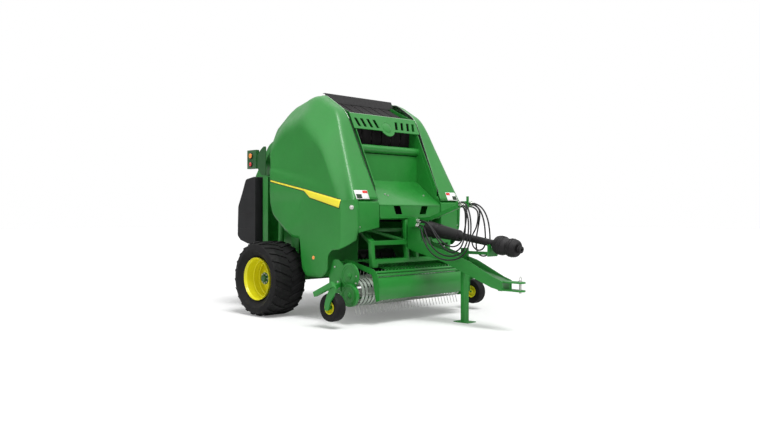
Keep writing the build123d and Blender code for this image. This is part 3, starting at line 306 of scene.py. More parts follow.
def add_ring(data, centre, turn, radius, height, count):
    """Even vertices of a circle at a height along the turned Z axis."""
    return [
        data.verts.new(centre + turn @ Vector((
            radius * cos(2 * pi * k / count), radius * sin(2 * pi * k / count), height)))
        for k in range(count)
    ]


def join_rings(data, rings, closed=False):
    """Faces from ring to ring, closed into a loop or capped at both ends."""
    for low, high in zip(rings, rings[1:] + rings[:1] if closed else rings[1:]):
        for k in range(len(low)):
            m = (k + 1) % len(low)
            data.faces.new((low[k], low[m], high[m], high[k]))
    if not closed:
        data.faces.new(rings[0][::-1])
        data.faces.new(rings[-1])


def add_lathe(data, centre, axis, rows, segments=48, closed=False):
    """Turned form; each row is a distance along the axis and a radius, in metres."""
    turn = axis.to_track_quat("Z", "X").to_matrix()
    rings = [add_ring(data, centre, turn, radius, along, segments) for along, radius in rows]
    join_rings(data, rings, closed)


def add_tube(data, places, radius, segments=10):
    """Round bead along a line of places."""
    rings = []
    for index, place in enumerate(places):
        before = places[max(0, index - 1)]
        after = places[min(len(places) - 1, index + 1)]
        turn = (after - before).to_track_quat("Z", "Y").to_matrix()
        rings.append(add_ring(data, place, turn, radius, 0, segments))
    join_rings(data, rings)


def round_edges(data, faces, width, segments):
    """Round every edge of these faces."""
    edges = list(dict.fromkeys(edge for face in faces for edge in face.edges))
    bmesh.ops.bevel(data, geom=edges, offset=width, segments=segments, profile=0.5, affect="EDGES")


def add_block(data, low, high, width):
    """Box between two corners, its edges rounded to a width."""
    corners = [
        data.verts.new((x, y, z))
        for z in (low.z, high.z) for y in (low.y, high.y) for x in (low.x, high.x)
    ]
    quads = ((0, 2, 3, 1), (4, 5, 7, 6), (0, 1, 5, 4), (2, 6, 7, 3), (0, 4, 6, 2), (1, 3, 7, 5))
    faces = [data.faces.new([corners[k] for k in quad]) for quad in quads]
    round_edges(data, faces, width, 2)


def add_hexagon(data, centre, axis, across_flats, height):
    """Bolt head or nut with a chamfered top."""
    radius = across_flats / 3 ** 0.5
    add_lathe(data, centre, axis, [(0, radius), (height * 0.8, radius), (height, radius * 0.86)], 6)


def add_bolt(data, centre, axis, size):
    """Hexagon head on a washer, for a thread size in millimetres."""
    thread = size / 1000
    axis = axis.normalized()
    washer = thread * 0.2
    add_lathe(data, centre, axis, [(0, thread * 1.05), (washer, thread * 1.05)], 18)
    add_hexagon(data, centre + axis * washer, axis, thread * 1.5, thread * 0.65)


def add_grid(data, rows):
    """Open skin over rows of places."""
    loops = [[data.verts.new(point) for point in row] for row in rows]
    for low, high in zip(loops, loops[1:]):
        for a, b, c, d in zip(low, low[1:], high[1:], high):
            data.faces.new((a, b, c, d))


def softened(name, width):
    """Copy of a CAD node with its outer edges rounded; it stands for the node."""
    node = nodes[name]
    data = bmesh.new()
    data.from_mesh(node.data)
    bmesh.ops.remove_doubles(data, verts=data.verts, dist=WELD)
    bmesh.ops.dissolve_limit(data, angle_limit=FLAT_ANGLE, verts=data.verts, edges=data.edges)
    sharp = [
        edge for edge in data.edges
        if edge.is_manifold and edge.calc_face_angle() > SOFT_ANGLE and edge.calc_length() > width
    ]
    bmesh.ops.bevel(data, geom=sharp, offset=width, segments=2, profile=0.5, affect="EDGES",
                    clamp_overlap=True)
    bmesh.ops.remove_doubles(data, verts=data.verts, dist=WELD)
    look = node.data.materials[0]
    piece = finish_piece(name + "_skin", data, node["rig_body"], look)
    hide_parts(name)


# ---- Camera ----------------------------------------------------------------------------

PHOTO_WIDTH = 760
FOCAL_PIXELS = 755.68
SENSOR_WIDTH = 36
EYE = (7.846, -7.749, 1.488)
LINE_OF_SIGHT = (-0.717, 0.697, -0.001)

camera_data = bpy.data.cameras.new("camera")
camera = bpy.data.objects.new("camera", camera_data)
bpy.context.scene.collection.objects.link(camera)
camera_data.sensor_fit = "HORIZONTAL"
camera_data.sensor_width = SENSOR_WIDTH
camera_data.lens = SENSOR_WIDTH * FOCAL_PIXELS / PHOTO_WIDTH
camera_data.clip_end = 200
camera.location = EYE
camera.rotation_euler = Vector(LINE_OF_SIGHT).to_track_quat("-Z", "Y").to_euler()
bpy.context.scene.camera = camera

# ---- Hoses -----------------------------------------------------------------------------

HOSE_RADIUS = 0.010
HOLDER_FACE = 2640.3
# Each route is a hose's length in metres and its places, to or from the holder's front face
HOSE_ROUTES = {
    "hose_near": (1.775, (
        (1930, -150, 1330), (2060, -160, 1320), (2160, -212, 1190), (2265, -235, 1050),
        (2410, -240, 950), (2590, -235, 912), (2760, -222, 950), (2850, -205, 1070),
        (2872, -188, 1240), (2845, -160, 1420), (2770, -130, 1555), (HOLDER_FACE, -100, 1592),
    )),
    "hose_outer": (2.00, (
        (1930, -165, 1308), (2040, -190, 1298), (2130, -248, 1165), (2230, -275, 1020),
        (2385, -280, 905), (2590, -275, 862), (2800, -262, 900), (2915, -245, 1035),
        (2945, -228, 1225), (2915, -200, 1430), (2825, -160, 1585), (2730, -128, 1630),
        (HOLDER_FACE, -108, 1624),
    )),
    "hose_middle": (1.635, (
        (1930, -150, 1382), (2070, -160, 1390), (2220, -190, 1300), (2340, -205, 1150),
        (2480, -210, 1010), (2640, -205, 960), (2760, -190, 1040), (2800, -170, 1210),
        (2790, -150, 1390), (2750, -110, 1540), (HOLDER_FACE, -60, 1610),
    )),
    "hose_inner": (1.50, (
        (1930, -125, 1356), (2080, -140, 1362), (2230, -168, 1285), (2350, -180, 1160),
        (2480, -184, 1060), (2630, -180, 1035), (2745, -168, 1110), (2775, -150, 1260),
        (2780, -118, 1430), (2740, -60, 1560), (HOLDER_FACE, -20, 1600),
    )),
    "hose_far": (1.76, (
        (HOLDER_FACE, 125, 1622), (2735, 138, 1612), (2840, 155, 1540), (2905, 168, 1410),
        (2930, 178, 1240), (2927, 186, 1085), (2925, 188, 982), (2858, 190, 915),
        (2763, 192, 915), (2696, 190, 982), (2696, 186, 1150), (2745, 174, 1320),
        (2785, 162, 1500), (2733, 154, 1580), (HOLDER_FACE, 152, 1602),
    )),
    "hose_loop": (1.57, (
        (HOLDER_FACE, 92, 1622), (2730, 100, 1606), (2818, 116, 1530), (2868, 130, 1400),
        (2885, 140, 1240), (2880, 150, 1060), (2813, 154, 993), (2718, 156, 993),
        (2651, 154, 1060), (2651, 148, 1180), (2743, 140, 1296), (2783, 130, 1476),
        (2731, 124, 1556), (HOLDER_FACE, 120, 1576),
    )),
}
SLEEVE_ROWS = (
    (-0.004, 0.009), (0, 0.013), (0.016, 0.013), (0.018, 0.0135), (0.050, 0.0135), (0.054, 0.0105),
)


def hose_ends(route):
    """Crimped steel sleeves on both ends of a hose."""
    data = bmesh.new()
    for end, before in ((route[0], route[1]), (route[-1], route[-2])):
        axis = (before - end).normalized()
        add_lathe(data, end, axis, SLEEVE_ROWS, 20)
        add_hexagon(data, end + axis * 0.002, axis, 0.030, 0.012)
    return data


def hose_tube(name, route):
    """Round tube along a route, standing for the hose of the CAD."""
    line = bpy.data.curves.new(name + "_line", "CURVE")
    line.dimensions = "3D"
    spline = line.splines.new("NURBS")
    spline.points.add(len(route) - 1)
    for point, place in zip(spline.points, route):
        point.co = (*place, 1)
    spline.order_u = 3
    spline.use_endpoint_u = True
    line.resolution_u = 10
    line.bevel_depth = HOSE_RADIUS
    line.bevel_resolution = 4
    line.use_fill_caps = True
    line.materials.append(HOSE)
    tube = bpy.data.objects.new(name + "_tube", line)
    bpy.context.scene.collection.objects.link(tube)
    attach(tube, "frame")
    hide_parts(name)
    return tube


for name, (length, rows) in HOSE_ROUTES.items():
    route = [at(*row) for row in rows]
    tube = hose_tube(name, route)
    sleeves = finish_piece(name + "_sleeves", hose_ends(route), "frame", ZINC)

# ---- Side shields ----------------------------------------------------------------------

# Sections along X: X, the side's top, the shoulder's Y and Z, and the inner edge's Y and Z
SHIELD_ROWS = (
    (-100, 2400, 980, 2790, 720, 2860), (180, 2680, 930, 3020, 720, 3060),
    (650, 2810, 880, 3172, 720, 3200), (1100, 2385, 862, 2915, 704, 2915),
    (1400, 1765, 984, 2262, 667, 2262), (1640, 1265, 1085, 1745, 644, 1745),
    (1684, 1173, 1103, 1651, 640, 1651),
)
SHIELD_BACK = -100
SHIELD_SIDE = 1150
SHIELD_WALL = 0.010
SHIELD_FOLD_ANGLE = 38
FOLD_WINDOW = 90
LOW_FOLD = 120
HIGH_FOLD = 110
LEG_LIMIT = 0.45
CORNER_SHARE = 0.55
STEP_LEVEL = 1664
STEP_START = 1448
STRIP_END = 1676
# The foot's outline: X, Z and the corner's size
SHIELD_FOOT = (
    (-100, 1640, 0), (-40, 1470, 120), (210, 1270, 200), (450, 1140, 120), (610, 1130, 60),
    (665, 700, 120), (760, 610, 80), (1090, 605, 80), (1215, 700, 80), (1216, 900, 60),
    (1290, 985, 120), (1470, 1000, 160), (1590, 1070, 100), (1720, 1180, 0),
)
# The blunt nose: Z, where its side ends, where its front is, and its front corner's Y
NOSE_LEVELS = (
    (1000, 1470, 1640, 1050), (1160, 1480, 1700, 1040), (1500, 1480, 1700, 1060),
    (1664, 1448, 1678, 1096),
)
NOSE_INNER = 1015
HINGE_ORIGIN = (180, -712, 3053)
HINGE_SLOPE = radians(16.6)
HINGE_STARTS = (60, 330)
KNUCKLE_GAP = (-10, 52)
KNUCKLE_EDGE = 738
CREASE = {"start": -90, "level": 2100, "slope": 0.222, "end": 1290, "top": 2500, "depth": 15}
HOLLOW = {"x": -60, "z": 1900, "stretch": 1.12, "reach": 760, "top": 1800, "depth": 10}


def between(rows, key):
    """Row of a table at a key, on straight lines between its rows."""
    if key <= rows[0][0]:
        return rows[0][1:]
    for low, high in zip(rows, rows[1:]):
        if key <= high[0]:
            share = (key - low[0]) / (high[0] - low[0])
            return tuple(a + (b - a) * share for a, b in zip(low[1:], high[1:]))
    return rows[-1][1:]


def curve_over(start, corner, end, pieces):
    """Points of a parabola that touches both legs of a corner."""
    return [
        start * (1 - k / pieces) ** 2
        + corner * (2 * k / pieces * (1 - k / pieces))
        + end * (k / pieces) ** 2
        for k in range(pieces + 1)
    ]


def rounded_line(rows, pieces=6):
    """Points of a polyline whose corners are rounded; each row is x, z and a corner's size."""
    points = [Vector(rows[0][:2])]
    for before, here, after in zip(rows, rows[1:], rows[2:]):
        corner = Vector(here[:2])
        back = Vector(before[:2]) - corner
        ahead = Vector(after[:2]) - corner
        reach = min(here[2] * CORNER_SHARE, back.length * LEG_LIMIT, ahead.length * LEG_LIMIT)
        start = corner + back.normalized() * reach
        end = corner + ahead.normalized() * reach
        points += curve_over(start, corner, end, pieces)
    points.append(Vector(rows[-1][:2]))
    return points


FOOT_LINE = sorted((point.x, point.y) for point in rounded_line(SHIELD_FOOT))


def shield_row(x):
    """Section measures at x, averaged over a window so that the folds come out soft."""
    window = min(FOLD_WINDOW, x - SHIELD_BACK, SHIELD_ROWS[-1][0] - x)
    taps = [between(SHIELD_ROWS, x + window * k / 5) for k in range(-5, 6)]
    return [sum(column) / len(taps) for column in zip(*taps)]


def along_line(points, count):
    """Points at even steps along a polyline."""
    lengths = [0]
    for before, here in zip(points, points[1:]):
        lengths.append(lengths[-1] + (here - before).length)
    found = []
    for k in range(count):
        goal = lengths[-1] * k / (count - 1)
        index = next(i for i in range(1, len(lengths)) if lengths[i] >= goal - 1e-6)
        span = max(lengths[index] - lengths[index - 1], 1e-9)
        found.append(points[index - 1].lerp(points[index], (goal - lengths[index - 1]) / span))
    return found


def clamped(value):
    """The value held between 0 and 1."""
    return min(1, max(0, value))


def smooth_step(value):
    """Soft step from 0 to 1."""
    return value * value * (3 - 2 * value)


def crease_inset(x, z):
    """How far the side is pressed in above the soft crease that runs down to the front."""
    line = CREASE["level"] - (x - CREASE["start"]) * CREASE["slope"]
    rise = clamped((z - line) / 60)
    fade = clamped((CREASE["end"] - x) / 420)
    top = clamped((CREASE["top"] - z) / 420)
    return CREASE["depth"] * smooth_step(rise) * fade * top


def hollow_inset(x, z):
    """The shallow hollow in the lower rear of the side."""
    reach = hypot((x - HOLLOW["x"]) / HOLLOW["stretch"], z - HOLLOW["z"])
    rise = clamped((HOLLOW["reach"] - reach) / 110)
    fade = clamped((HOLLOW["top"] - z) / 140)
    return HOLLOW["depth"] * smooth_step(rise) * fade


def edge_at(x, edge_y):
    """The inner edge steps back round the hinge knuckles."""
    for start in HINGE_STARTS:
        low, high = (HINGE_ORIGIN[0] + (start + gap) * cos(HINGE_SLOPE) for gap in KNUCKLE_GAP)
        if low < x < high:
            return max(edge_y, KNUCKLE_EDGE)
    return edge_y


def side_lines(x):
    """Lines of the shield's section at x, from its foot to its inner edge."""
    side_z, shoulder_y, shoulder_z, edge_y, edge_z = shield_row(x)
    foot = Vector((-SHIELD_SIDE, between(FOOT_LINE, x)[0]))
    corner = Vector((-SHIELD_SIDE, side_z))
    shoulder = Vector((-shoulder_y, shoulder_z))
    edge = Vector((-edge_at(x, edge_y), edge_z))
    side_leg, slope_leg, top_leg = (
        LEG_LIMIT * leg.length for leg in (corner - foot, shoulder - corner, edge - shoulder)
    )
    first = min(LOW_FOLD, side_leg, slope_leg)
    second = min(HIGH_FOLD, top_leg, slope_leg)
    up = (shoulder - corner).normalized()
    inward = (edge - shoulder).normalized()
    low_corner = corner - (corner - foot).normalized() * first
    return [
        [foot, low_corner],
        curve_over(low_corner, corner, corner + up * first, 10),
        [corner + up * first, shoulder - up * second],
        curve_over(shoulder - up * second, shoulder, shoulder + inward * second, 8),
        [shoulder + inward * second, edge],
    ]


def side_profile(x, counts):
    """The section as points, so many on each of its lines."""
    lines = side_lines(x)
    points = []
    for line, count in zip(lines, counts):
        points += along_line(line, count)[:-1]
    return [*points, lines[-1][-1]]


def strip_profile(x):
    """The part of the section above the step, which the front strip follows."""
    whole = [point for line in side_lines(x) for point in line]
    kept = [point for point in whole if point.y > STEP_LEVEL]
    below = [point for point in whole if point.y <= STEP_LEVEL]
    if below:
        share = (STEP_LEVEL - below[-1].y) / (kept[0].y - below[-1].y)
        kept.insert(0, below[-1].lerp(kept[0], share))
    return kept


SECTION_COUNTS = (34, 10, 8, 8, 5)
SECTION_STEP = 22
FOOT_PLACES = {610, 640, 665, 1214, 1217, 1232}
STRIP_STEPS = 12
NOSE_POINTS = 26
LEDGE_POINTS = 22


def shield_skin(side):
    """Outer face of one shield: the swept side, the sloping front strip and the blunt nose."""
    data = bmesh.new()
    sweep = []
    for x in sorted({*range(SHIELD_BACK, STEP_START, SECTION_STEP), *FOOT_PLACES}):
        row = []
        for point in side_profile(x, SECTION_COUNTS):
            flat = point.x < -SHIELD_SIDE + 0.5
            pressed = crease_inset(x, point.y) + hollow_inset(x, point.y) if flat else 0
            row.append(at(x, (point.x + pressed) * -side, point.y))
        sweep.append(row)
    last = side_profile(STEP_START, SECTION_COUNTS)
    split = next(k for k, point in enumerate(last) if point.y > STEP_LEVEL)
    share = (STEP_LEVEL - last[split - 1].y) / (last[split].y - last[split - 1].y)
    last[split] = last[split - 1].lerp(last[split], share)
    sweep.append([at(STEP_START, point.x * -side, point.y) for point in last])
    add_grid(data, sweep)

    strip = [sweep[-1][split:]]
    for k in range(1, STRIP_STEPS + 1):
        x = STEP_START + (STRIP_END - STEP_START) * k / STRIP_STEPS
        line = along_line(strip_profile(x), len(last) - split)
        strip.append([at(x, point.x * -side, point.y) for point in line])
    add_grid(data, strip)

    nose = []
    foot = last[0].y
    for start in last[:split + 1]:
        side_x, nose_x, corner_y = between(NOSE_LEVELS, start.y)
        turns = (
            (STEP_START, start.x, 0), (side_x, start.x, 150), (nose_x, -corner_y, 60),
            (nose_x, -NOSE_INNER, 0),
        )
        share = (start.y - foot) / (STEP_LEVEL - foot)
        row = []
        for point in along_line(rounded_line(turns, 8), NOSE_POINTS):
            low = between(FOOT_LINE, point.x)[0]
            row.append(at(point.x, point.y * -side, low + (STEP_LEVEL - low) * share))
        nose.append(row)
    add_grid(data, nose)
    ledge_line = along_line(nose[-1][:LEDGE_POINTS], len(strip))
    add_grid(data, [[column[0] for column in strip], ledge_line])
    bmesh.ops.remove_doubles(data, verts=data.verts, dist=4e-4)
    return data


def thicken(piece, amount):
    """Wall of an open skin, added inwards."""
    wall = piece.modifiers.new("wall", "SOLIDIFY")
    wall.thickness = amount
    wall.offset = -1


def face_outwards(data, centre):
    """Turn every face of an open skin away from a point inside it."""
    for face in data.faces:
        if face.normal.dot(face.calc_center_median() - centre) < 0:
            face.normal_flip()


STRIPE_TOP = ((-92, 1980), (731, 1826), (1484, 1668))
STRIPE_LOW = ((-92, 1938), (705, 1784), (770, 1738), (836, 1688), (1458, 1540))
STRIPE_STEPS = 90
STRIPE_SLANT_STEPS = 20
STRIPE_SLANT = 26
STRIPE_EDGE = 11
RAY_START = 1400
# Thickness of what is laid on, as a share of how far its face is lifted
FILM_SHARE = 0.9


def laid_on(tree, side, x, z, lift):
    """Place on the shield's outer face, straight across from a side view."""
    hit, _, _, _ = tree.ray_cast(at(x, RAY_START * side, z), Vector((0, -side, 0)))
    return (hit or at(x, SHIELD_SIDE * side, z)) + Vector((0, side * lift, 0))


def stripe_piece(name, tree, side, inset, lift, look):
    """Stripe laid on a shield, drawn in from its edge by an inset; its front end slants."""
    data = bmesh.new()
    rows = []
    first, last = STRIPE_TOP[0][0] + inset, STRIPE_TOP[-1][0] - inset
    for k in range(STRIPE_STEPS + 1):
        x = first + (last - first) * k / STRIPE_STEPS
        top = between(STRIPE_TOP, x)[0] - inset
        slanted = k - (STRIPE_STEPS - STRIPE_SLANT_STEPS)
        low_x = x - STRIPE_SLANT * max(0, slanted / STRIPE_SLANT_STEPS)
        low = between(STRIPE_LOW, low_x)[0] + inset
        rows.append([
            laid_on(tree, side, x + (low_x - x) * share, top + (low - top) * share, lift)
            for share in (0, 0.25, 0.5, 0.75, 1)
        ])
    add_grid(data, rows)
    face_outwards(data, at(700, 0, 1800))
    body = "side_shield_" + ("right" if side < 0 else "left")
    thicken(open_piece(name, data, body, look), lift * FILM_SHARE)


LABEL_SIZE = (0.235, 0.132)
LABEL_LIFT = 0.0008
LABEL_CORNER = (1619, 1034, 1790)
LABEL_DOWN = Vector((240, 0, -517)).normalized()
LABEL_PARTS = (
    ("field", (0, 1), (0, 1), LABEL_WHITE, 1), ("band", (0.60, 0.97), (0.06, 0.34), LABEL_RED, 1.8),
    ("block", (0.06, 0.46), (0.46, 0.92), DECAL_DARK, 1.8),
)


def label_pieces(side_name, side, tree):
    """Blank plate laid on the strip: a white field with a plain band and a plain block."""
    corner = at(LABEL_CORNER[0], LABEL_CORNER[1] * side, LABEL_CORNER[2])
    across_way = Vector((0, -side, 0))
    width, height = LABEL_SIZE
    normal = across_way.cross(LABEL_DOWN).normalized()
    if normal.x < 0:
        normal = -normal
    for part, across, down, look, lifts in LABEL_PARTS:
        rise = LABEL_LIFT * lifts
        rows = []
        for down_step in range(5):
            row = []
            for across_step in range(9):
                u = across[0] + (across[1] - across[0]) * across_step / 8
                v = down[0] + (down[1] - down[0]) * down_step / 4
                place = corner + across_way * width * u + LABEL_DOWN * height * v
                hit, _, _, _ = tree.ray_cast(place + normal * 0.3, -normal)
                row.append((hit or place) + normal * rise)
            rows.append(row)
        data = bmesh.new()
        add_grid(data, rows)
        face_outwards(data, corner - normal)
        name = f"label_{side_name}_{part}"
        plate = open_piece(name, data, "side_shield_" + side_name, look)
        thicken(plate, rise * FILM_SHARE)


KNUCKLE_START = 56
KNUCKLE_ROWS = ((0, 0.0123), (0.0015, 0.0138), (0.0485, 0.0138), (0.05, 0.0123))
HIGHLIGHT_PLACES = 22
MARKER_PLACE = (917, 869)
MARKER_ROWS = ((0, 0.026), (0.006, 0.026), (0.009, 0.022))
LATCH_PLACE = (1636, 1560)
LATCH_ROWS = (
    (-0.004, 0.030), (0.004, 0.030), (0.006, 0.028), (0.006, 0.020), (0.011, 0.018), (0.013, 0.012),
)


def hinge_knuckles(side):
    """The shield's own pair of knuckles on its sloping hinge pin."""
    data = bmesh.new()
    way = Vector((cos(HINGE_SLOPE), 0, sin(HINGE_SLOPE)))
    origin = at(HINGE_ORIGIN[0], HINGE_ORIGIN[1] * -side, HINGE_ORIGIN[2])
    for start in HINGE_STARTS:
        add_lathe(data, origin + way * (start + KNUCKLE_START) / 1000, way, KNUCKLE_ROWS, 20)
    return data


def edge_beads(side):
    """Painted highlight as a pale bead along the shield's inner edge, and a rubber seal along the
    same edge.
    """
    highlight_places = []
    seal_places = []
    for x in range(600, 1640, 26):
        _, _, _, edge_y, edge_z = shield_row(x)
        highlight_places.append(at(x, (edge_y + 3) * side, edge_z + 0.5))
        seal_places.append(at(x, (edge_y - 3) * side, edge_z - 14))
    highlight_bead = bmesh.new()
    seal = bmesh.new()
    add_tube(highlight_bead, highlight_places[:HIGHLIGHT_PLACES], 0.0045)
    add_tube(seal, seal_places, 0.011)
    return highlight_bead, seal


for side_name, side in SIDES:
    body = "side_shield_" + side_name
    outward = Vector((0, side, 0))
    skin_data = shield_skin(side)
    bmesh.ops.recalc_face_normals(skin_data, faces=skin_data.faces)
    face_outwards(skin_data, at(600, 0, 1500))
    tree = BVHTree.FromBMesh(skin_data)
    skin = open_piece("shield_skin_" + side_name, skin_data, body, GREEN,
                      SHIELD_FOLD_ANGLE)
    thicken(skin, SHIELD_WALL)
    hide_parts("shield_" + side_name)
    stripe_piece("stripe_edge_" + side_name, tree, side, 0, 0.0006, DECAL_DARK)
    stripe_piece("stripe_" + side_name, tree, side, STRIPE_EDGE, 0.0012, DECAL_YELLOW)

    finish_piece("shield_knuckles_" + side_name, hinge_knuckles(side), body, GREEN)
    # The pale bead is a painted highlight of the shield's inner edge.
    highlight_bead, seal = edge_beads(side)
    finish_piece("shield_painted_highlight_" + side_name, highlight_bead, body, PAINTED_HIGHLIGHT_EDGE)
    finish_piece("shield_seal_" + side_name, seal, body, SEAL)

    marker = bmesh.new()
    marker_place = at(MARKER_PLACE[0], SHIELD_SIDE * side, MARKER_PLACE[1])
    add_lathe(marker, marker_place - outward * 0.002, outward, MARKER_ROWS, 28)
    finish_piece("marker_" + side_name, marker, body, AMBER)
    latch = bmesh.new()
    latch_way = Vector((0.45, side, 0)).normalized()
    add_lathe(latch, laid_on(tree, side, *LATCH_PLACE, -0.001), latch_way, LATCH_ROWS, 26)
    finish_piece("latch_" + side_name, latch, body, ZINC)
    label_pieces(side_name, side, tree)

# ---- Front boxes, cut back under the shields' strips -------------------------------------

BOX_PROFILE = ((1560, 1735), (1606, 1735), (1648, 1646), (1690, 1632))
BOX_ENDS = ((1010, 1223), (632, 1289))
box_data = bmesh.new()
for _, side in SIDES:
    loops = []
    for y, foot in BOX_ENDS:
        profile = (*BOX_PROFILE, (1690, foot), (1560, foot))
        loops.append([box_data.verts.new(at(x, y * side, z)) for x, z in profile])
    faces = [box_data.faces.new(loops[0]), box_data.faces.new(loops[1][::-1])]
    for k in range(len(loops[0])):
        m = (k + 1) % len(loops[0])
        faces.append(box_data.faces.new((loops[0][k], loops[1][k], loops[1][m], loops[0][m])))
    round_edges(box_data, faces, 0.008, 3)
boxes = finish_piece("front_boxes_skin", box_data, "frame", GREEN)
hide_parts("front_boxes")

# ---- Wheels ----------------------------------------------------------------------------

WHEEL_HEIGHT = 538
RIM_FACE = 1452
HUB_FACE = 1304
DISC_FACE = 1148
GAUGE_PLACE = (1650, 276)
GAUGE_RIM_FACE = 1494
GAUGE_HUB_FACE = 1440
RIM_LIP_ROWS = (
    (-0.010, 0.2965), (0.004, 0.2965), (0.010, 0.300), (0.011, 0.305), (0.006, 0.3075),
    (-0.010, 0.3075),
)
# Steps in the rim's well: depth behind the face, radius and half width
RIM_STEPS = ((0.150, 0.2825, 0.014), (0.236, 0.268, 0.010))
HUB_ROWS = (
    (-0.002, 0.088), (0.006, 0.088), (0.010, 0.084), (0.010, 0.056), (0.034, 0.052),
    (0.042, 0.046), (0.046, 0.030),
)
GAUGE_LIP_ROWS = (
    (-0.006, 0.0825), (0.001, 0.083), (0.003, 0.086), (0.000, 0.0885), (-0.006, 0.0885),
)
GAUGE_CAP_ROWS = ((-0.02, 0.032), (0.004, 0.032), (0.008, 0.028), (0.008, 0.020))


def add_bolt_circle(data, face, side, count, radius, size, turn=0.0):
    """Bolts evenly round a main wheel's axis, on a plane of its own across the machine."""
    for k in range(count):
        angle = turn + 2 * pi * k / count
        place = at(radius * cos(angle), face * side, WHEEL_HEIGHT + radius * sin(angle))
        add_bolt(data, place, Vector((0, side, 0)), size)


for side_name, side in SIDES:
    outward = Vector((0, side, 0))
    body = "wheel_" + side_name
    rings = bmesh.new()
    add_lathe(rings, at(0, RIM_FACE * side, WHEEL_HEIGHT), outward, RIM_LIP_ROWS, 72, True)
    for depth, radius, width in RIM_STEPS:
        place = at(0, (RIM_FACE - depth * 1000) * side, WHEEL_HEIGHT)
        add_lathe(rings, place, outward, [
            (-width, radius + 0.001), (-width * 0.6, radius - 0.012),
            (width * 0.6, radius - 0.012), (width, radius + 0.001),
        ], 72, True)
    finish_piece("rim_rings_" + side_name, rings, body, YELLOW)
    hub = bmesh.new()
    add_lathe(hub, at(0, HUB_FACE * side, WHEEL_HEIGHT), outward, HUB_ROWS, 40)
    finish_piece("hub_cap_" + side_name, hub, body, DARK_GREEN_AND_PAINTED_SHADE)
    nuts = bmesh.new()
    add_bolt_circle(nuts, HUB_FACE + 9, side, 8, 70, 12)
    finish_piece("wheel_nuts_" + side_name, nuts, body, ZINC)
    studs = bmesh.new()
    add_bolt_circle(studs, DISC_FACE, side, 10, 150, 14, 0.3)
    finish_piece("disc_nuts_" + side_name, studs, body, YELLOW)

    gauge_body = "gauge_wheel_" + side_name
    x, z = GAUGE_PLACE
    lip = bmesh.new()
    add_lathe(lip, at(x, GAUGE_RIM_FACE * side, z), outward, GAUGE_LIP_ROWS, 40, True)
    finish_piece("gauge_rim_ring_" + side_name, lip, gauge_body, YELLOW)
    cap = bmesh.new()
    add_lathe(cap, at(x, GAUGE_HUB_FACE * side, z), outward, GAUGE_CAP_ROWS, 28)
    finish_piece("gauge_hub_" + side_name, cap, gauge_body, YELLOW)

# ---- Front of the frame ------------------------------------------------------------------

# The slotted panel's slope, and the badge's ring and disc
PANEL_WAY = Vector((108, 0, -225.5)).normalized()
PANEL_NORMAL = Vector((225.5, 0, 108)).normalized()
PANEL_TOP = at(1112, 0, 2895)
BADGE_DOWN = 0.186
BADGE_RING_ROWS = (
    (-0.002, 0.078), (0.003, 0.078), (0.007, 0.081), (0.007, 0.088), (0.003, 0.091),
    (-0.002, 0.091),
)
BADGE_DISC_ROWS = ((-0.002, 0.077), (0.004, 0.077), (0.006, 0.073), (0.006, 0.01))

badge = bmesh.new()
badge_place = PANEL_TOP + PANEL_WAY * BADGE_DOWN + PANEL_NORMAL * 0.004
add_lathe(badge, badge_place, PANEL_NORMAL, BADGE_RING_ROWS, 48, True)
add_lathe(badge, badge_place, PANEL_NORMAL, BADGE_DISC_ROWS, 48)
finish_piece("blank_badge", badge, "frame", GREEN)

# Pale bead along the panel's top edge: a painted highlight.
highlight_bead = bmesh.new()
highlight_start = PANEL_TOP + PANEL_NORMAL * 0.002
add_tube(highlight_bead, [highlight_start + Vector((0, y / 1000, 0)) for y in range(-660, 661, 60)], 0.0045, 8)
finish_piece("panel_painted_highlight", highlight_bead, "frame", PAINTED_HIGHLIGHT_EDGE)

# Hem round the apron's face: the corners of its four bars
APRON_FACE = (1677, 1684)
hem = bmesh.new()
for low, high in (
    ((-617, 1584), (617, 1597)), ((-617, 1412), (617, 1424)),
    ((-617, 1412), (-604, 1597)), ((604, 1412), (617, 1597)),
):
    add_block(hem, at(APRON_FACE[0], *low), at(APRON_FACE[1], *high), 0.0015)
finish_piece("apron_hem", hem, "frame", GREEN)

# Bolts on the sloping floor, whose height falls from FLOOR_EDGE, and on the front side boxes
AHEAD = Vector((1, 0, 0))
FLOOR_EDGE = (1668, 1612)
FLOOR_SLOPE = 0.743
floor_normal = Vector((FLOOR_SLOPE, 0, 1)).normalized()
front_bolts = bmesh.new()
for x, y in ((1494, -337), (1516, -302), (1500, 456)):
    z = FLOOR_EDGE[1] + FLOOR_SLOPE * (FLOOR_EDGE[0] - x)
    add_bolt(front_bolts, at(x, y, z), floor_normal, 14)
for _, side in SIDES:
    for z in (1670, 1300):
        add_bolt(front_bolts, at(1690, side * 990, z), AHEAD, 8)
finish_piece("front_bolts", front_bolts, "frame", ZINC)

# Ribs of the driveline's cones: distance along it and radius
DRIVE_START = at(1975, 0, 1272)
DRIVE_WAY = (at(3560, 0, 1028) - DRIVE_START).normalized()
DRIVE_RIBS = (
    (60, 105), (84, 103), (108, 102), (132, 101), (156, 100), (225, 98), (250, 97),
    (1214, 93), (1228, 107), (1256, 116), (1276, 120), (1306, 120), (1332, 118), (1415, 106),
    (1440, 115), (1470, 116), (1500, 110), (1520, 105),
)
ribs = bmesh.new()
for along, radius in DRIVE_RIBS:
    r = radius / 1000
    add_lathe(ribs, DRIVE_START + DRIVE_WAY * along / 1000, DRIVE_WAY, [
        (-0.005, r - 0.012), (-0.004, r + 0.001), (0, r + 0.004), (0.004, r + 0.001),
        (0.005, r - 0.012),
    ], 48, True)
finish_piece("driveline_ribs", ribs, "driveline", BLACK_PLASTIC)

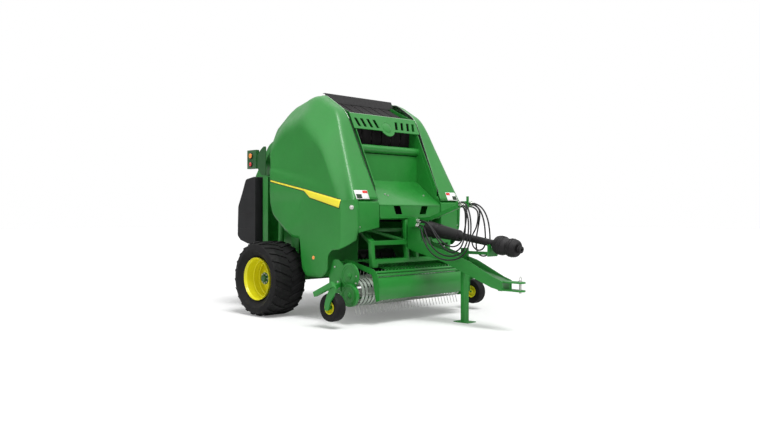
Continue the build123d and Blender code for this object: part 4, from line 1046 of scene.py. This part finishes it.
# Pull handle on the hitch pin
PIN_X, PIN_TOP = 3536, 652
HANDLE_HALF = 22
handle = bmesh.new()
handle_line = [at(PIN_X, HANDLE_HALF, PIN_TOP - 4)]
for k in range(13):
    angle = pi * k / 12
    handle_line.append(at(PIN_X, HANDLE_HALF * cos(angle), PIN_TOP + 14 + 30 * sin(angle)))
handle_line.append(at(PIN_X, -HANDLE_HALF, PIN_TOP - 4))
add_tube(handle, handle_line, 0.005, 12)
finish_piece("hitch_handle", handle, "frame", ZINC)

# ---- Pick-up's ends, lamps and rear covers -----------------------------------------------

END_BOLTS = (
    (1378, 1104, 565), (1400, 1104, 490), (1380, 1090, 400), (1748, 1104, 660),
    (1735, 1104, 568), (1300, 1090, 760),
)
# The end's two discs: X, Z, outer face and the radii of their bands
END_DISCS = ((1605, 655, 1104, (0.150, 0.118)), (1625, 400, 1130, (0.140, 0.112)))
END_BOSS_ROWS = (
    (-0.002, 0.040), (0.010, 0.040), (0.014, 0.036), (0.014, 0.022), (0.022, 0.020), (0.024, 0.014),
)
LAMP_X = -800
LAMP_PLATE_FACE = 1000
# Lamps: name, Z, the glass's radius and look
LAMPS = (("amber", 2370, 0.040, AMBER), ("red", 2240, 0.032, RED_LENS))
REAR_LENS_LEVELS = (2205, 2290, 2375)
# Seams of the rear covers: Z and where they start
SEAMS = ((1240, -1100), (1480, -1100), (1720, -1040))

for side_name, side in SIDES:
    outward = Vector((0, side, 0))
    ends = bmesh.new()
    for x, y, z in END_BOLTS:
        add_bolt(ends, at(x, y * side, z), outward, 12)
    finish_piece("pickup_end_bolts_" + side_name, ends, "pickup", ZINC)
    bands = bmesh.new()
    for x, z, face, radii in END_DISCS:
        for r in radii:
            add_lathe(bands, at(x, face * side, z), outward, [
                (-0.002, r - 0.007), (0.004, r - 0.007), (0.006, r - 0.003), (0.006, r + 0.003),
                (0.004, r + 0.007), (-0.002, r + 0.007),
            ], 56, True)
        add_lathe(bands, at(x, face * side, z), outward, END_BOSS_ROWS, 30)
    finish_piece("pickup_end_bands_" + side_name, bands, "pickup", GREEN)

    housings = bmesh.new()
    for _, z, r, _ in LAMPS:
        add_lathe(housings, at(LAMP_X, LAMP_PLATE_FACE * side, z), outward, [
            (-0.004, r + 0.010), (0.010, r + 0.010), (0.014, r + 0.006), (0.014, r),
        ], 36)
    finish_piece("lamp_housings_" + side_name, housings, "tailgate", BLACK_PLASTIC)
    for part, z, r, look in LAMPS:
        glass = bmesh.new()
        add_lathe(glass, at(LAMP_X, (LAMP_PLATE_FACE + 14) * side, z), outward, [
            (-0.002, r), (0.003, r * 0.97), (0.007, r * 0.8), (0.009, r * 0.4),
        ], 36)
        finish_piece(f"lamp_{part}_{side_name}", glass, "tailgate", look)
    rear_lens = bmesh.new()
    for z in REAR_LENS_LEVELS:
        low = at(-906, side * 970 - 24, z - 30)
        add_block(rear_lens, low, at(-899, side * 970 + 24, z + 30), 0.003)
    finish_piece("rear_lens_" + side_name, rear_lens, "tailgate", RED_LENS)

    seams = bmesh.new()
    for z, start in SEAMS:
        low = at(start, side * 997 - 4, z - 3)
        add_block(seams, low, at(-700, side * 997 + 4, z + 3), 0.001)
    finish_piece("cover_seams_" + side_name, seams, "tailgate", BLACK_PLASTIC)

# Rounded edges for the plain pieces of the frame, with their widths in metres
SOFT_EDGES = (
    ("drawbar", 0.004), ("front_frame", 0.004), ("jack_leg", 0.003), ("rear_covers", 0.012),
    ("gauge_arms", 0.003), ("lamp_plates", 0.003), ("apron", 0.003), ("pickup_beam", 0.003),
    ("tailgate_frame", 0.004),
)
for name, width in SOFT_EDGES:
    softened(name, width)

# ---- Floor, world and lamps ------------------------------------------------------------

FLOOR_REACH = 60
FLOOR_COLOUR = (0.84, 0.84, 0.84, 1)
FLOOR_GLOW = 0.16
WORLD_LIGHT = 0.40
MIRROR_LOW = 0.10
MIRROR_HIGH = 1.7


def make_floor():
    """White floor with a small glow for the camera alone; it keeps the shadow."""
    data = bmesh.new()
    corners = ((-1, -1), (1, -1), (1, 1), (-1, 1))
    data.faces.new([data.verts.new((x * FLOOR_REACH, y * FLOOR_REACH, 0)) for x, y in corners])
    mesh = bpy.data.meshes.new("floor")
    data.to_mesh(mesh)
    data.free()
    floor = bpy.data.objects.new("floor", mesh)
    bpy.context.scene.collection.objects.link(floor)
    made, tree, shader = new_material("floor_white")
    output = next(node for node in tree.nodes if node.type == "OUTPUT_MATERIAL")
    shader.inputs["Base Color"].default_value = FLOOR_COLOUR
    shader.inputs["Roughness"].default_value = 0.9
    shader.inputs["Specular IOR Level"].default_value = 0.1
    glow = tree.nodes.new("ShaderNodeEmission")
    glow.inputs["Color"].default_value = (1, 1, 1, 1)
    path = tree.nodes.new("ShaderNodeLightPath")
    level = multiplied(tree, path.outputs["Is Camera Ray"], FLOOR_GLOW)
    tree.links.new(level, glow.inputs["Strength"])
    both = tree.nodes.new("ShaderNodeAddShader")
    tree.links.new(shader.outputs["BSDF"], both.inputs[0])
    tree.links.new(glow.outputs["Emission"], both.inputs[1])
    tree.links.new(both.outputs["Shader"], output.inputs["Surface"])
    mesh.materials.append(made)


def level_node(tree, value, low, high, start=0.0, end=1.0):
    """A value spread between two levels of light; the high one may be a node's output."""
    node = tree.nodes.new("ShaderNodeMapRange")
    node.inputs["From Min"].default_value = start
    node.inputs["From Max"].default_value = end
    node.inputs["To Min"].default_value = low
    tree.links.new(value, node.inputs["Value"])
    if isinstance(high, float):
        node.inputs["To Max"].default_value = high
    else:
        tree.links.new(high, node.inputs["To Max"])
    return node


def make_world():
    """White where it is seen, brighter from above in reflections, and plain light elsewhere."""
    world = bpy.data.worlds.new("studio")
    bpy.context.scene.world = world
    world.use_nodes = True
    tree = world.node_tree
    background = next(node for node in tree.nodes if node.type == "BACKGROUND")
    background.inputs["Color"].default_value = (1, 1, 1, 1)
    path = tree.nodes.new("ShaderNodeLightPath")
    seen = tree.nodes.new("ShaderNodeMath")
    seen.operation = "MAXIMUM"
    tree.links.new(path.outputs["Is Camera Ray"], seen.inputs[0])
    tree.links.new(path.outputs["Is Transmission Ray"], seen.inputs[1])
    plain = level_node(tree, seen.outputs[0], WORLD_LIGHT, 1.0)
    way = tree.nodes.new("ShaderNodeTexCoord")
    parts = tree.nodes.new("ShaderNodeSeparateXYZ")
    tree.links.new(way.outputs["Generated"], parts.inputs[0])
    mirrored = level_node(tree, parts.outputs["Z"], MIRROR_LOW, MIRROR_HIGH, 0.05, 0.75)
    glossy = path.outputs["Is Glossy Ray"]
    strength = level_node(tree, glossy, WORLD_LIGHT, mirrored.outputs["Result"])
    tree.links.new(plain.outputs["Result"], strength.inputs["To Min"])
    tree.links.new(strength.outputs["Result"], background.inputs["Strength"])


def add_sun(name, direction, power, spread):
    """Sun lamp that shines along a direction; its spread is in degrees."""
    data = bpy.data.lights.new(name, "SUN")
    data.energy = power
    data.angle = radians(spread)
    sun = bpy.data.objects.new(name, data)
    bpy.context.scene.collection.objects.link(sun)
    sun.rotation_euler = Vector(direction).to_track_quat("-Z", "Y").to_euler()


make_floor()
make_world()
add_sun("key", (-0.50, 0.14, -0.86), 2.35, 24)
add_sun("fill", (-0.12, 0.95, -0.35), 0.85, 60)

bpy.context.scene.view_settings.view_transform = "Standard"
